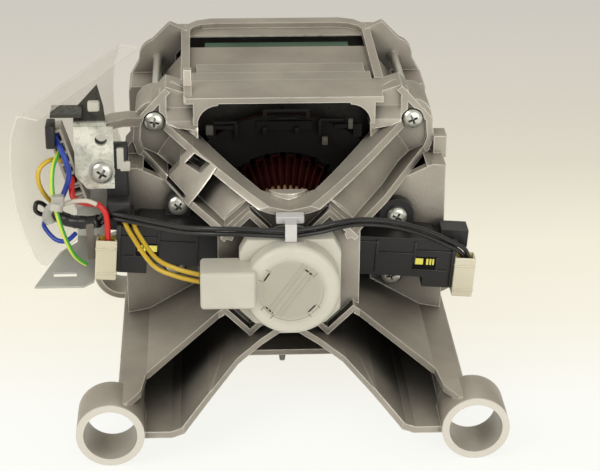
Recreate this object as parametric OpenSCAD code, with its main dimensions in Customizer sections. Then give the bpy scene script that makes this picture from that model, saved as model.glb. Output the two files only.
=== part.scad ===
/* [Mounting lugs] */
// Sideways distance between the two lug bores of a shield
lug_pitch = 150; // [146:1:158]
// Height of the shaft axis above the lug axes
lug_drop = 50; // [48:0.5:53]
// Outer diameter of a lug
lug_d = 28; // [26:0.5:31]
// Bore of a lug
lug_bore = 22; // [16:0.5:23]
// Length of a rear lug
rear_lug_len = 20.5; // [16:0.5:26]
// Length of a front lug
front_lug_len = 19; // [14:0.5:24]
// Rear lug faces to the near faces of the front lugs
lug_span = 154.5; // [150:0.5:158]

/* [Stator] */
// Length of the laminated stack
stack_len = 60; // [54:1:66]
// Width of the laminations
stator_w = 132; // [128:1:134]
// Height of the laminations
stator_h = 114; // [110:1:115]
// Width of the flat top and bottom of a lamination
stator_flat_w = 84; // [76:1:88]
// Height of the flat sides of a lamination
stator_side_h = 60; // [52:1:62]
// Bore of the laminations
stator_bore = 62; // [60:0.5:64]
// Sideways distance between tie bolts
bolt_pitch_w = 113.2; // [112:0.2:116]
// Upright distance between tie bolts
bolt_pitch_h = 95; // [94:0.5:98]
// Tie bolt shank diameter
bolt_d = 4; // [3.5:0.1:4.4]
// Tie bolt head diameter
bolt_head_d = 8.4; // [7:0.1:9]

/* [Rear end shield] */
// Rear lug faces to the hub front
hub_setback = 46; // [44:0.5:48]
// Rear lug faces to the side pads that carry the brush holders
pad_setback = 86; // [84:0.5:88]
// Rear lug faces to the tie bolt seats
bolt_seat_setback = 104; // [102:0.5:106]
// Rear lug faces to the stator face
stack_setback = 114; // [112:0.5:116]
// Wall of the rims at the sides of the laminations
rim_side = 4; // [3:0.1:5]
// Wall of the rims above and below the laminations
rim_top = 3; // [2.6:0.1:4]
// Wall of the castings
cast_wall = 3; // [2.5:0.1:3.6]
// Outer diameter of the bearing housing
hub_d = 40; // [37:0.5:42]

/* [Front end shield] */
// Stator face to the back of the front wall
front_depth = 29; // [27:0.5:32]
// Thickness of the front wall
front_wall = 4; // [3:0.2:5]
// Outer diameter of the front bearing housing
nose_d = 46; // [42:0.5:50]

/* [Bearings] */
// Bore of the rear bearing
rear_brg_bore = 10; // [9:0.5:11]
// Outside diameter of the rear bearing
rear_brg_od = 30; // [28:0.5:31]
// Width of the rear bearing
rear_brg_w = 9; // [8:0.5:10]
// Bore of the front bearing
front_brg_bore = 15; // [13:0.5:16]
// Outside diameter of the front bearing
front_brg_od = 35; // [33:0.5:37]
// Width of the front bearing
front_brg_w = 11; // [10:0.5:12]
// Balls in each bearing
ball_count = 8; // [7:1:9]

/* [Rotor] */
// Armature diameter
armature_d = 60; // [58:0.5:61]
// Shaft diameter inside the armature
shaft_d = 17; // [15:0.5:18]
// Commutator diameter
commutator_d = 33; // [31:0.5:35]
// Length of the commutator bars
commutator_len = 29; // [26:0.5:30]
// Number of commutator bars and armature slots
bar_count = 24; // [18:2:28]
// Height of a hook above the bars
hook_h = 3; // [2:0.1:3.6]
// Fan diameter
fan_d = 92; // [80:1:96]
// Fan blades
blade_count = 12; // [9:1:15]
// Pulley diameter over the ribs
pulley_d = 21; // [19.5:0.5:26]
// Pulley width
pulley_w = 22; // [18:1:26]
// Grooves of the pulley
groove_count = 7; // [4:1:8]
// Front wall of the shield housing to the pulley
pulley_gap = 5; // [2:0.5:6]

/* [Brushes] */
// Width of a carbon brush along the shaft
brush_w = 12.5; // [10:0.5:13]
// Thickness of a carbon brush around the commutator
brush_t = 6; // [5:0.2:7]
// Length of a new carbon brush
brush_len = 30; // [26:0.5:32]
// Wall of a brass brush tube
tube_wall = 0.8; // [0.6:0.1:1.2]
// Clearance of a brush in its tube
brush_fit = 0.15; // [0.1:0.05:0.3]
// Outward travel of a brush against its spring
brush_travel = 6; // [2:0.5:7]
// Turn of the brush line from level
brush_tilt = 4; // [2:0.5:6]
// Distance between the two screws of a holder
holder_screw_pitch = 28; // [27:0.5:31]
// Screws of a holder from the shaft axis
holder_screw_reach = 47.6; // [46:0.2:49]
// Thickness of a holder from front to back
holder_t = 18; // [17:0.5:19]

/* [Tacho] */
// Diameter of the tacho cap
tacho_d = 39; // [36:0.5:42]
// How far the cap stands proud of the hub
tacho_proud = 17; // [15:0.5:18]
// Diameter of the tacho magnet
magnet_d = 20; // [17:0.5:22]

/* [Terminals and guard] */
// Width of the terminal bracket plate
bracket_w = 16.6; // [15:0.2:18]
// Height of the terminal bracket plate
bracket_h = 28.5; // [26:0.5:31]
// Sheet thickness of the steel brackets
sheet_t = 1.5; // [1:0.1:2]
// Length of the connector housing
connector_len = 37; // [34:0.5:40]
// Pitch of the connector contacts
contact_pitch = 5; // [4.5:0.1:5.2]
// Thickness of the clear guard
guard_t = 0.8; // [0.5:0.1:1.2]
// Length of the clear guard along the motor
guard_len = 100; // [90:1:104]
// Diameter of a brush lead or a tacho lead
lead_d = 2; // [1.6:0.1:2.2]

/* [Hidden] */
$fn = 64;

// Stations along the shaft, counted from the rear lug faces towards the pulley
hub_y = hub_setback;
pad_y = pad_setback;
seat_y = bolt_seat_setback;
stack_y0 = stack_setback;
stack_y1 = stack_y0 + stack_len;
rail_y0 = stack_y0 - 17;
rail_y1 = stack_y0 + 4;
lap_y1 = stack_y0 + 18;
lip_y1 = stack_y0 + 32;
wall_y0 = stack_y1 + front_depth;
wall_y1 = wall_y0 + front_wall;
lip_t = 2;
washer_t = 1;
rear_brg_y0 = hub_y + cast_wall + washer_t;
rear_brg_y1 = rear_brg_y0 + rear_brg_w;
hub_y1 = rear_brg_y1 + 1;
front_brg_y0 = wall_y0 + 3;
front_brg_y1 = front_brg_y0 + front_brg_w;
nose_y1 = front_brg_y1 + lip_t;
pulley_y0 = nose_y1 + pulley_gap;
pulley_y1 = pulley_y0 + pulley_w;
pulley_y = (pulley_y0 + pulley_y1) / 2;
brush_y = pad_y - holder_t / 2;
bars_y0 = hub_y1 + 2.5;
bars_y1 = bars_y0 + commutator_len;
core_y0 = stack_y0 + 0.5;
core_y1 = stack_y1 - 0.5;
fan_y0 = wall_y0 - 11.5;
fan_y1 = wall_y0 - 1.5;
front_lug_y0 = lug_span;
front_lug_y1 = front_lug_y0 + front_lug_len;
tacho_y0 = hub_y - tacho_proud;
flange_y0 = hub_y - 8;

// Half sizes used in the outlines
lug_x = lug_pitch / 2;
bolt_x = bolt_pitch_w / 2;
bolt_z = bolt_pitch_h / 2;
core_x = stator_w / 2;
core_z = stator_h / 2;
rim_x = core_x + rim_side;
rim_z = core_z + rim_top;
flat_x = stator_flat_w / 2;
side_z = stator_side_h / 2;
boss_r = bolt_head_d / 2 + 4.6;
shaft_r = shaft_d / 2;
com_r = commutator_d / 2;
arm_r = armature_d / 2;
pitch_a = 360 / bar_count;
ledge = 3;
fit = 0.3;
snug = 0.02;
run = 0.05;
over = 1;

// Screws
holder_screw_d = 4;
bracket_screw_d = 4;
screw_head_d = 8.6;

// Terminal bracket on the upper left
bracket_y = pad_y - 10;
bracket_x1 = -rim_x - 3.4;
bracket_x0 = bracket_x1 - bracket_w;
bracket_z1 = 55.8;
bracket_z0 = bracket_z1 - bracket_h;
bracket_screw_x = bracket_x1 - 5.2;
bracket_screw_z = bracket_z0 + 7.8;
bracket_hole_z = bracket_z1 - 6.3;
conn_top = [bracket_x0 - 8.5, bracket_z1 - 2.2];
conn_turn = -17.2;
conn_y0 = bracket_y + sheet_t;
conn_y1 = conn_y0 + 10.5;

// Colours of the finishes
cast_c = [0.66, 0.64, 0.61];
steel_c = [0.72, 0.72, 0.7];
iron_c = [0.56, 0.53, 0.49];
black_c = [0.1, 0.1, 0.1];
white_c = [0.93, 0.92, 0.87];
copper_c = [0.72, 0.4, 0.22];
brass_c = [0.85, 0.68, 0.3];
varnish_c = [0.36, 0.1, 0.06];

// Moves a piece from stations to the part's frame, whose origin is the middle of the pulley
module from_lugs() {
    translate([0, -pulley_y, 0]) children();
}

// Extrudes an outline of X and Z between two stations
module slab(y0, y1) {
    translate([0, y1, 0]) rotate([90, 0, 0]) linear_extrude(y1 - y0) children();
}

// Extrudes an outline of X and station between two heights
module plan(z0, z1) {
    translate([0, 0, z0]) linear_extrude(z1 - z0) children();
}

// Turns an outline of radius and station about the shaft axis
module turned() {
    rotate([-90, 0, 0]) rotate_extrude() children();
}

// A round bar along the shaft between two stations
module bar_y(y0, y1, r, x = 0, z = 0) {
    translate([x, y0, z]) rotate([-90, 0, 0]) cylinder(h = y1 - y0, r = r);
}

// A tube along the shaft between two stations
module tube_y(y0, y1, r, bore) {
    difference() {
        bar_y(y0, y1, r);
        bar_y(y0 - over, y1 + over, bore);
    }
}

// A box between two X values, two stations and two heights
module block(x0, x1, y0, y1, z0, z1) {
    translate([x0, y0, z0]) cube([x1 - x0, y1 - y0, z1 - z0]);
}

module both_sides() {
    children();
    mirror([1, 0, 0]) children();
}

// The brush line is turned a little about the shaft axis
module on_right() {
    rotate([0, brush_tilt, 0]) children();
}

module on_left() {
    rotate([0, brush_tilt, 0]) mirror([1, 0, 0]) children();
}

// A wall of even thickness along a bent line, with mitred corners
function unit(v) = v / norm(v);
function side_of(a, b) = let(d = unit(b - a)) [-d[1], d[0]];
function mitre(p, i, t) =
    i == 0 ? side_of(p[0], p[1]) * t :
    i == len(p) - 1 ? side_of(p[i - 1], p[i]) * t :
    let(a = side_of(p[i - 1], p[i]), b = side_of(p[i], p[i + 1]), m = unit(a + b)) m * t / (m * a);
function strip(p, t) = concat(p, [for (i = [len(p) - 1:-1:0]) p[i] + mitre(p, i, t)]);
function on_arc(c, r, a0, a1, n) = [for (i = [0:n])
    let(a = a0 + (a1 - a0) * i / n) [c[0] + r * cos(a), c[1] + r * sin(a)]];

// A round tube swept through points; the reference may not lie along the tube
function heading(p, i) = unit(p[min(i + 1, len(p) - 1)] - p[max(i - 1, 0)]);
function hoop(p, i, r, n, ref) =
    let(t = heading(p, i), u = unit(cross(t, ref)), v = cross(t, u))
    [for (k = [0:n - 1]) p[i] + r * (cos(360 * k / n) * u + sin(360 * k / n) * v)];
module sweep(p, r, n = 8, ref = [0, 1, 0]) {
    m = len(p);
    polyhedron(
        points = [for (i = [0:m - 1]) each hoop(p, i, r, n, ref)],
        faces = concat(
            [[for (k = [0:n - 1]) k]],
            [[for (k = [n - 1:-1:0]) (m - 1) * n + k]],
            [for (i = [0:m - 2], k = [0:n - 1]) [i * n + k, (i + 1) * n + k, (i + 1) * n + (k + 1) % n]],
            [for (i = [0:m - 2], k = [0:n - 1]) [i * n + k, (i + 1) * n + (k + 1) % n, i * n + (k + 1) % n]]
        ));
}

// Outlines of the rear shield, right half
apex = [bolt_x - 5, bolt_z + 15.5];
upper_rib = [[-over, 28.8], [7.6, 30.6], [31, 39.3], [bolt_x - 5.3, bolt_z - 0.2], [bolt_x - 5.3, bolt_z + 13.5]];
upper_outer = [
    [24, 15.5], [32, 18.5], [43, 22], [52, 26.6], [bolt_x + 7.6, bolt_z - 15], [bolt_x + 9.6, bolt_z - 9],
    [bolt_x + boss_r, bolt_z + 0.5], apex
];
lug_c = [lug_x, -lug_drop];
lower_rib = [[29, -16.5], lug_c + [-14.6, 14.8], lug_c + [-3.4, 12.6]];
lower_outer = [
    [-over, -28], [4.2, -28], [12, -30.5], [22, -34], [33, -40.4], lug_c + [-30.2, -1.2],
    lug_c + [-25.2, -3], lug_c + [-12.4, -3]
];
lug_relief = on_arc(lug_c, lug_bore / 2 + 2, 104, 194, 4);
window_x = 37.6;
step_x = 46;
pad_x = 38;

module rim_outline(grow = 0) {
    both_sides() polygon([
        [-over, -rim_z], [flat_x + 4, -rim_z], [bolt_x + 3, -rim_z + 3], [bolt_x + boss_r, -bolt_z],
        [rim_x, -side_z - 6], [rim_x, side_z + 4], [bolt_x + 9.6, bolt_z - 9],
        [bolt_x + boss_r, bolt_z + 0.5], apex, [flat_x + 1, rim_z], [-over, rim_z]
    ]);
}

module core_outline(grow = 0) {
    x = core_x + grow;
    z = core_z + grow;
    polygon([
        [-flat_x, -z], [flat_x, -z], [x, -side_z], [x, side_z],
        [flat_x, z], [-flat_x, z], [-x, side_z], [-x, -side_z]
    ]);
}

// The space inside the rims, beyond the laminations, leaves a ledge for them at the sides
module head_space() {
    z = core_z + fit;
    x = core_x - ledge;
    polygon([
        [-flat_x + 1, -z], [flat_x - 1, -z], [x, -side_z], [x, side_z],
        [flat_x - 1, z], [-flat_x + 1, z], [-x, side_z], [-x, -side_z]
    ]);
}

// Everything between two bells about the shaft, given as radius and station
module between_bells(front, back) {
    n = len(back);
    turned() polygon(concat(front, [for (i = [n - 1:-1:0]) back[i]]));
}

bell_front = [[0, hub_y], [32, hub_y], [70.6, seat_y - 2], [110, seat_y - 2]];
bell_back = [[0, hub_y1], [34, hub_y1 + 1], [56, seat_y - 3], [60, seat_y + 4], [110, seat_y + 4]];
web_front = [[0, hub_y + 10], [34, hub_y + 12], [58, seat_y - 6], [64, seat_y], [110, seat_y]];

// One upper arm: a channel of two ribs and a web behind them
module upper_arm() {
    intersection() {
        slab(hub_y - over, seat_y + 5) {
            polygon(strip(upper_rib, -cast_wall));
            polygon(strip(upper_outer, cast_wall));
        }
        between_bells(bell_front, bell_back);
    }
    intersection() {
        slab(hub_y - over, seat_y + 5) polygon([
            [-over, 28], [7.6, 29.6], [31, 38.3], [window_x, 41.5], [window_x, core_z + fit + over],
            [flat_x + 1, rim_z], apex, [bolt_x + boss_r, bolt_z + 0.5], [bolt_x + 9.6, bolt_z - 9],
            [bolt_x + 7.6, bolt_z - 15], [52, 26.6], [43, 22], [32, 18.5], [24, 15.5], [-over, 15.5]
        ]);
        between_bells(web_front, bell_back);
    }
}

// One lower arm: two deep walls from the hub to the lug, closed at the back and outside
module lower_arm() {
    intersection() {
        slab(0, pad_y + 4) polygon(strip(lower_rib, -cast_wall));
        plan(-lug_drop - lug_d, 0) polygon([
            [20, hub_y], [30, hub_y], [lug_x - 14.6, 26], [lug_x - 12.6, 11.6], [lug_x - 7, 3.5],
            [lug_x + 4, 3.5], [lug_x + 4, pad_y + 4], [20, pad_y + 4]
        ]);
    }
    intersection() {
        slab(0, pad_y + 4) polygon(strip(lower_outer, cast_wall));
        plan(-lug_drop - lug_d, 0) polygon([
            [-over, hub_y], [4, hub_y], [12, 40], [22, 30], [33, 14], [lug_x - 30, 2.5],
            [lug_x - 8, 2.5], [lug_x - 8, pad_y + 4], [34, pad_y + 4], [20, hub_y1], [-over, hub_y1]
        ]);
    }
    // outside wall, hollowed round the line of the lugs
    slab(rear_lug_len - 6, seat_y + 4) polygon(strip(lug_relief, cast_wall));
    // floor beside the windings, then deeper at the tie bolt
    slab(pad_y, pad_y + 4) polygon([
        [31, -19.5], [step_x + 2, -29], [step_x + 2, lug_c[1] - 1], lug_c + [-30.2, 0.2], [33, -39]
    ]);
    slab(pad_y, seat_y + 4) polygon([
        [step_x, -27.5], [step_x + 3, -29.5], [step_x + 3, -rim_z + over], [step_x, -rim_z + over]
    ]);
    slab(seat_y, seat_y + 4) polygon(concat(
        [[step_x, -rim_z], [step_x, -28], lug_c + [-14.6, 13.8]], lug_relief,
        [[bolt_x + 3, -rim_z + 3], [flat_x + 4, -rim_z]]));
    slab(pad_y, seat_y + 4) polygon([
        [step_x, -26.7], lug_c + [-14.6, 14.8], lug_c + [-3.4, 12.6], lug_c + [-3.4, 9.6],
        lug_c + [-14.6, 11.8], [step_x, -30]
    ]);
}

module lug(y0, len) {
    difference() {
        bar_y(y0, y0 + len, lug_d / 2, lug_x, -lug_drop);
        bar_y(y0 - over, y0 + len + over, lug_bore / 2, lug_x, -lug_drop);
    }
}

// The bracket that frames a corner of the tacho cap's seat
module seat_corner() {
    slab(hub_y, hub_y1) polygon(strip([[7.5, 20], [16.6, 29.3], [29, 16.8]], -2.4));
}

// Extrudes an outline of stations and heights from x0 to x1
module profile_x(x0, x1) {
    translate([x0, 0, 0]) rotate([90, 0, 90]) linear_extrude(x1 - x0) children();
}

// Head of an upper arm, a hollow block between the window and the tie bolt
module arm_head() {
    x1 = bolt_x - 5.3;
    front = [[seat_y - 5, 43], [seat_y - 4.2, bolt_z + 1], [seat_y + 8, apex[1] - 0.6]];
    difference() {
        intersection() {
            slab(hub_y, stack_y0 - fit) polygon([
                [window_x, 44], [x1 - 4.1, bolt_z - 2], [x1, bolt_z - 0.2], [x1, apex[1] + 1],
                [flat_x + 1, rim_z], [window_x, rim_z]
            ]);
            profile_x(window_x, x1) polygon(concat(front, [[stack_y0, apex[1] - 0.6], [stack_y0, 43]]));
        }
        profile_x(window_x + cast_wall, x1 - cast_wall) polygon([
            [seat_y - 1.6, 42], [seat_y - 0.9, bolt_z], [seat_y + 7, core_z], [stack_y0 + over, core_z],
            [stack_y0 + over, 42]
        ]);
    }
}

// The rim that holds the laminations
module rear_rim() {
    difference() {
        union() {
            slab(pad_y, stack_y0 + 6) rim_outline();
            for (sx = [-1, 1], sz = [-1, 1])
                bar_y(seat_y, stack_y0 + 14, boss_r, sx * bolt_x, sz * bolt_z);
        }
        slab(pad_y - over, stack_y0) head_space();
        slab(stack_y0, stack_y0 + 20) core_outline(fit);
        slab(pad_y - over, seat_y) both_sides() polygon([
            [-over, side_z + 2], [rim_x + 3, side_z + 2], [rim_x + 3, rim_z + 9], [-over, rim_z + 9]
        ]);
        // the lower corners stay open for the pockets of the arms
        slab(pad_y - over, seat_y) both_sides() polygon(concat(
            [[step_x + 3, -55.4], [step_x + 3, -31]], [lug_c + [-14.6, 11.8]], lug_relief));
    }
    // pads that carry the brush holders
    slab(pad_y, pad_y + 4) both_sides() polygon([
        [pad_x, -22], lug_c + [-14.6, 14.8], [rim_x, -side_z - 6], [rim_x, side_z + 2],
        [bolt_x + 7.6, bolt_z - 15], [52, 26.6], [43, 22], [pad_x, 20.4]
    ]);
    both_sides() arm_head();
    // rounded upper corners of the window
    slab(rail_y0, rail_y0 + 4) both_sides() polygon(concat(
        [[window_x - 9, core_z + fit + over], [window_x + 2, core_z + fit + over], [window_x + 2, core_z - 9.5]],
        on_arc([window_x - 8.8, core_z - 9.5], 9, 0, 90, 6)));
    // tab at the left end of the rail
    profile_x(-flat_x - 1.6, -flat_x + 1.8) polygon([
        [rail_y0 + 1, core_z + 0.5], [rail_y0 + 2, rim_z], [rail_y0 + 11, rim_z + 2], [rail_y0 + 12.5, rim_z + 8.5],
        [rail_y0 + 16, rim_z + 8.5], [rail_y0 + 16, core_z + 0.5]
    ]);
    // the upper rail laps over the laminations in steps
    block(-flat_x - 1, flat_x + 1, rail_y0, rail_y1, core_z + fit, rim_z);
    block(-flat_x + 2, flat_x - 2, rail_y1 - over, lap_y1, core_z + fit, rim_z - 0.7);
    block(-flat_x + 4, flat_x - 4, lap_y1 - over, lip_y1, core_z + fit, rim_z - 1.6);
}

module terminal_arm() {
    intersection() {
        slab(bracket_y - 4, seat_y + 6) polygon(strip([
            [-rim_x + 8, 50], [-rim_x + 2, 53.5], [-rim_x - 5, 56], [-rim_x - 18, 56]
        ], 3.4));
        plan(40, 64) polygon([
            [-rim_x + 8, seat_y + 4], [-rim_x + 8, seat_y - 4], [-rim_x - 6, conn_y0 + 1.4],
            [-rim_x - 18, conn_y0 + 1.4], [-rim_x - 18, conn_y0 + 7], [-rim_x - 8, conn_y0 + 10]
        ]);
    }
    slab(conn_y0, conn_y0 + 4) polygon([
        [bracket_x1 - 1, 28], [bracket_x1 - 1, 54], [bracket_screw_x - 6, 54], [bracket_screw_x - 6, 28]
    ]);
    bar_y(conn_y0, conn_y1, 5, bracket_screw_x, bracket_screw_z);
    block(bracket_screw_x + 2, -rim_x + 2, conn_y0, seat_y - 6, 28, 33);
}

module rear_end_shield() {
    color(cast_c) from_lugs() difference() {
        union() {
            both_sides() {
                upper_arm();
                lower_arm();
                lug(0, rear_lug_len);
                seat_corner();
                mirror([0, 0, 1]) seat_corner();
            }
            rear_rim();
            bar_y(hub_y, hub_y1, hub_d / 2);
            slab(hub_y + 5, hub_y1) polygon([
                [-30, 17], [-17, 29], [17, 29], [30, 17], [30, -17], [17, -29], [-17, -29], [-30, -17]
            ]);
            // bracket on the upper left arm
            intersection() {
                slab(hub_y, seat_y) polygon([
                    [-30, 38.6], [-42.2, 22.2], [-52.4, 27.4], [-45.8, 35], [-45.4, 38], [-40, 43]
                ]);
                between_bells(
                    [[0, hub_y - 1], [32, hub_y - 1], [70.6, seat_y - 3]],
                    [[0, hub_y + 6], [32, hub_y + 6], [70.6, seat_y + 3]]);
            }
            // half moon where the upper ribs meet
            intersection() {
                translate([0, hub_y1 + 6, 28]) cylinder(h = 4, r = 9);
                block(-9, 9, hub_y, hub_y1 + 2, 28, 31.8);
            }
            block(rim_x - 4, rim_x + 1.8, seat_y - 4, seat_y + 6, 30, 40);
            terminal_arm();
            translate([-1, pad_y + 2, -rim_z + over]) mirror([0, 0, 1]) cylinder(h = 4.4, r1 = 1.8, r2 = 1.2);
        }
        // seat of the laminations
        slab(stack_y0, stack_y0 + 40) core_outline(fit);
        // bearing seat, open towards the commutator, and the hole for the shaft
        bar_y(hub_y + cast_wall, hub_y1 + over, rear_brg_od / 2 + run);
        bar_y(hub_y - over, hub_y + cast_wall + over, rear_brg_bore / 2 + 4);
        // tie bolts, with room for their heads
        for (sx = [-1, 1], sz = [-1, 1]) {
            bar_y(seat_y - 30, stack_y0 + 30, bolt_d / 2 + fit, sx * bolt_x, sz * bolt_z);
            bar_y(seat_y - 16, seat_y, bolt_head_d / 2 + 0.8, sx * bolt_x, sz * bolt_z);
        }
        both_sides() {
            bar_y(-over, rear_lug_len, lug_bore / 2, lug_x, -lug_drop);
            bar_y(rear_lug_len, stack_y0 + 20, lug_bore / 2 + 1.5, lug_x, -lug_drop);
        }
        // rectangular eye and slot in the bracket of the left arm
        slab(hub_y, seat_y) polygon([[-43.5, 36.4], [-39.2, 41], [-32.5, 39.5], [-36.8, 35.2]]);
        translate([-47.3, 0, 26.7]) rotate([0, 27, 0]) block(-4.4, 4.4, hub_y, seat_y, -1, 1);
        // screws of the brush holders and of the terminal bracket
        for (sz = [-1, 1]) {
            on_right() bar_y(pad_y - over, pad_y + 5, holder_screw_d / 2, holder_screw_reach, sz * holder_screw_pitch / 2);
            on_left() bar_y(pad_y - over, pad_y + 5, holder_screw_d / 2, holder_screw_reach, sz * holder_screw_pitch / 2);
        }
        bar_y(conn_y0 - over, conn_y1 + over, bracket_screw_d / 2, bracket_screw_x, bracket_screw_z);
        bar_y(conn_y0 - over, conn_y0 + 5, 2.6, bracket_screw_x, bracket_hole_z);
    }
}

// Front shield: a cup over the fan with the bearing in its nose
module front_outline() {
    both_sides() polygon([
        [-over, -rim_z], [flat_x + 4, -rim_z], [bolt_x + 3, -rim_z + 3], [bolt_x + boss_r, -bolt_z],
        [rim_x, -side_z - 6], [rim_x, side_z + 8], [rim_x - 4.7, bolt_z - 1], [bolt_x + 4, bolt_z + 7],
        [bolt_x - 6, rim_z + 4.5], [flat_x + 0.6, rim_z + 0.9], [-over, rim_z + 0.9]
    ]);
}

gap_y0 = wall_y0 - 15;

// Raised frame over the windings: two bars and the far rail, with rounded corners
module top_frame() {
    x = flat_x + 3;
    y = wall_y1;
    plan(core_z + fit, core_z + 3.6) both_sides() difference() {
        polygon([
            [-over, stack_y0 + 6], [x, stack_y0 + 6], [x, y - 16], [x - 2, y - 9.5], [x - 7, y - 3],
            [x - 14, y], [-over, y]
        ]);
        polygon([
            [-2 * over, stack_y0], [x - 4, stack_y0], [x - 4, y - 17.5], [x - 6, y - 12.5], [x - 10, y - 9],
            [x - 16, y - 7.6], [-2 * over, y - 7.6]
        ]);
    }
}

// What is cut from the corners behind the seats of the tie bolts
module corner_step() {
    slab(gap_y0 + 4, wall_y1 + 6) both_sides() polygon([
        [flat_x + 0.5, rim_z + 9], [flat_x + 0.5, core_z + 1], [bolt_x - 6.4, rim_z - 2], [bolt_x + 4, bolt_z + 1],
        [bolt_x + 8, side_z + 11.5], [rim_x, side_z + 3], [rim_x + 9, side_z + 3], [rim_x + 9, rim_z + 9]
    ]);
}

module front_end_shield() {
    color(cast_c) from_lugs() difference() {
        union() {
            difference() {
                slab(stack_y1 - 6, wall_y1) front_outline();
                slab(stack_y1 - 7, stack_y1) core_outline(fit);
                slab(stack_y1 - over, wall_y0) head_space();
                // open over the windings, up to the far rail, and at the upper corners
                block(-flat_x + 1, flat_x - 1, stack_y1 - 7, gap_y0, core_z - 6, rim_z + 9);
                both_sides() block(flat_x - 2, rim_x + 3, stack_y1 - 7, gap_y0, side_z + 10, rim_z + 9);
                block(-flat_x - 0.6, flat_x + 0.6, gap_y0 - over, wall_y1 + over, core_z + 1, rim_z + 9);
                corner_step();
            }
            difference() {
                for (sx = [-1, 1], sz = [-1, 1])
                    bar_y(gap_y0, wall_y1 - 1, boss_r, sx * bolt_x, sz * bolt_z);
                corner_step();
            }
            top_frame();
            bar_y(wall_y0, nose_y1, nose_d / 2);
            // ribs from the nose to the rim
            for (a = [0:45:315]) rotate([0, a, 0]) block(nose_d / 2 - 2, 56, wall_y1 - over, wall_y1 + 4, -1.4, 1.4);
            // arms of the front lugs
            both_sides() {
                lug(front_lug_y0, front_lug_len);
                intersection() {
                    slab(front_lug_y0 + 4, wall_y1) union() {
                        polygon(strip([[rim_x - 14, -side_z - 2], lug_c + [-9, 14.4], lug_c + [-3.4, 12.6]], -cast_wall));
                        polygon(strip([[flat_x + 4, -rim_z + 1], lug_c + [-24, -5], lug_c + [-12.4, -4]], cast_wall));
                        polygon(strip(lug_relief, cast_wall));
                    }
                    plan(-lug_drop - lug_d, 0) polygon([
                        [40, stack_y1 + 2], [core_x + 1.5, stack_y1 + 2], [core_x + 1.5, front_lug_y0 + 4],
                        [lug_x + 4, front_lug_y0 + 4], [lug_x + 4, wall_y1], [40, wall_y1]
                    ]);
                }
                slab(wall_y0, wall_y1) polygon(concat(
                    [[flat_x, -rim_z + 1], [flat_x, -side_z - 4], lug_c + [-9, 14.4]], lug_relief,
                    [lug_c + [-24, -5]]));
            }
        }
        bar_y(wall_y0 - over, front_brg_y1, front_brg_od / 2 + run);
        bar_y(front_brg_y1 - over, nose_y1 + over, front_brg_bore / 2 + 2);
        for (sx = [-1, 1], sz = [-1, 1])
            bar_y(gap_y0 - 30, wall_y1 - 3, bolt_d / 2 + snug, sx * bolt_x, sz * bolt_z);
        both_sides() {
            bar_y(front_lug_y0 - over, front_lug_y1, lug_bore / 2, lug_x, -lug_drop);
            bar_y(front_lug_y1, wall_y1 + over, lug_bore / 2 + 1.5, lug_x, -lug_drop);
        }
        // air outlets in the wall and in the sides
        for (a = [22.5:45:337.5]) rotate([0, a, 0])
            slab(wall_y0 - over, wall_y1 + over) polygon([[27, -5.5], [44, -12], [44, 12], [27, 5.5]]);
        both_sides() for (z = [-22:11:22])
            block(core_x - ledge - over, rim_x + over, stack_y1 + 8, wall_y0 - 5, z - 3.4, z + 3.4);
    }
}

// Laminations with two poles, one above and one below the armature
module stator_core() {
    color(iron_c) from_lugs() slab(stack_y0, stack_y1) difference() {
        core_outline();
        circle(stator_bore / 2);
        both_sides() difference() {
            polygon([
                [pole_x, slot_z], [coil_r - 4.5, slot_z], [coil_r + 3.5, slot_z - 10],
                [coil_r + 3.5, 10 - slot_z], [coil_r - 4.5, -slot_z], [pole_x, -slot_z]
            ]);
            difference() {
                circle(stator_bore / 2 + 4.5);
                translate([0, -9]) square([core_x, 18]);
            }
        }
    }
}

pole_x = stator_bore / 2 - 4;
slot_z = stator_bore / 2 + 3;
coil_r = core_z - 8.5;
coil_y0 = stack_y0 - 14.7;
coil_y1 = stack_y1 + 14.7;
module coil_arch() {
    intersection() {
        difference() {
            circle(coil_r);
            circle(stator_bore / 2 + 6.5);
        }
        translate([-coil_r - over, 3]) square([2 * coil_r + 2 * over, coil_r]);
    }
}

module field_coil() {
    slab(coil_y0, stack_y0 - 1.5) coil_arch();
    slab(stack_y1 + 1.5, coil_y1) coil_arch();
    slab(coil_y0 + over, coil_y1 - over) both_sides() intersection() {
        coil_arch();
        translate([pole_x + 1, 3]) square([coil_r, slot_z - 4.5]);
    }
}

module upper_field_coil() {
    color(copper_c) from_lugs() field_coil();
}

module lower_field_coil() {
    color(copper_c) from_lugs() mirror([0, 0, 1]) field_coil();
}

// Black end frames that cover the windings
module coil_frame() {
    r = stator_bore / 2 + 3.5;
    turned() polygon([
        [r, 0], [r + 1.7, 0], [r + 1.7, coil_y1 + 0.3 - stack_y1], [core_z - 5, coil_y1 + 0.3 - stack_y1],
        [core_z - 5, coil_y1 + 2 - stack_y1], [r, coil_y1 + 2 - stack_y1]
    ]);
}

module rear_coil_frame() {
    color(black_c) from_lugs() {
        translate([0, stack_y0, 0]) mirror([0, 1, 0]) coil_frame();
        both_sides() {
            block(30, 33.6, coil_y0 - 4.5, coil_y0 - 1.9, 42.2, 48);
            block(22, 33.6, coil_y0 - 4.5, coil_y0 - 1.9, 46.4, 48);
        }
        block(-12, 12, coil_y0 - 4, coil_y0 - 1.9, 46, 49.5);
    }
}

module front_coil_frame() {
    color(black_c) from_lugs() translate([0, stack_y1, 0]) coil_frame();
}

// Green insulating strip over the front windings
module insulation_strip() {
    color([0.1, 0.4, 0.25]) from_lugs() {
        block(-34, 34, stack_y1, stack_y1 + 12, core_z - 2.4, core_z - 1.8);
        block(-34, 34, stack_y1, stack_y1 + 0.6, core_z - 6, core_z - 2);
    }
}

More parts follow.
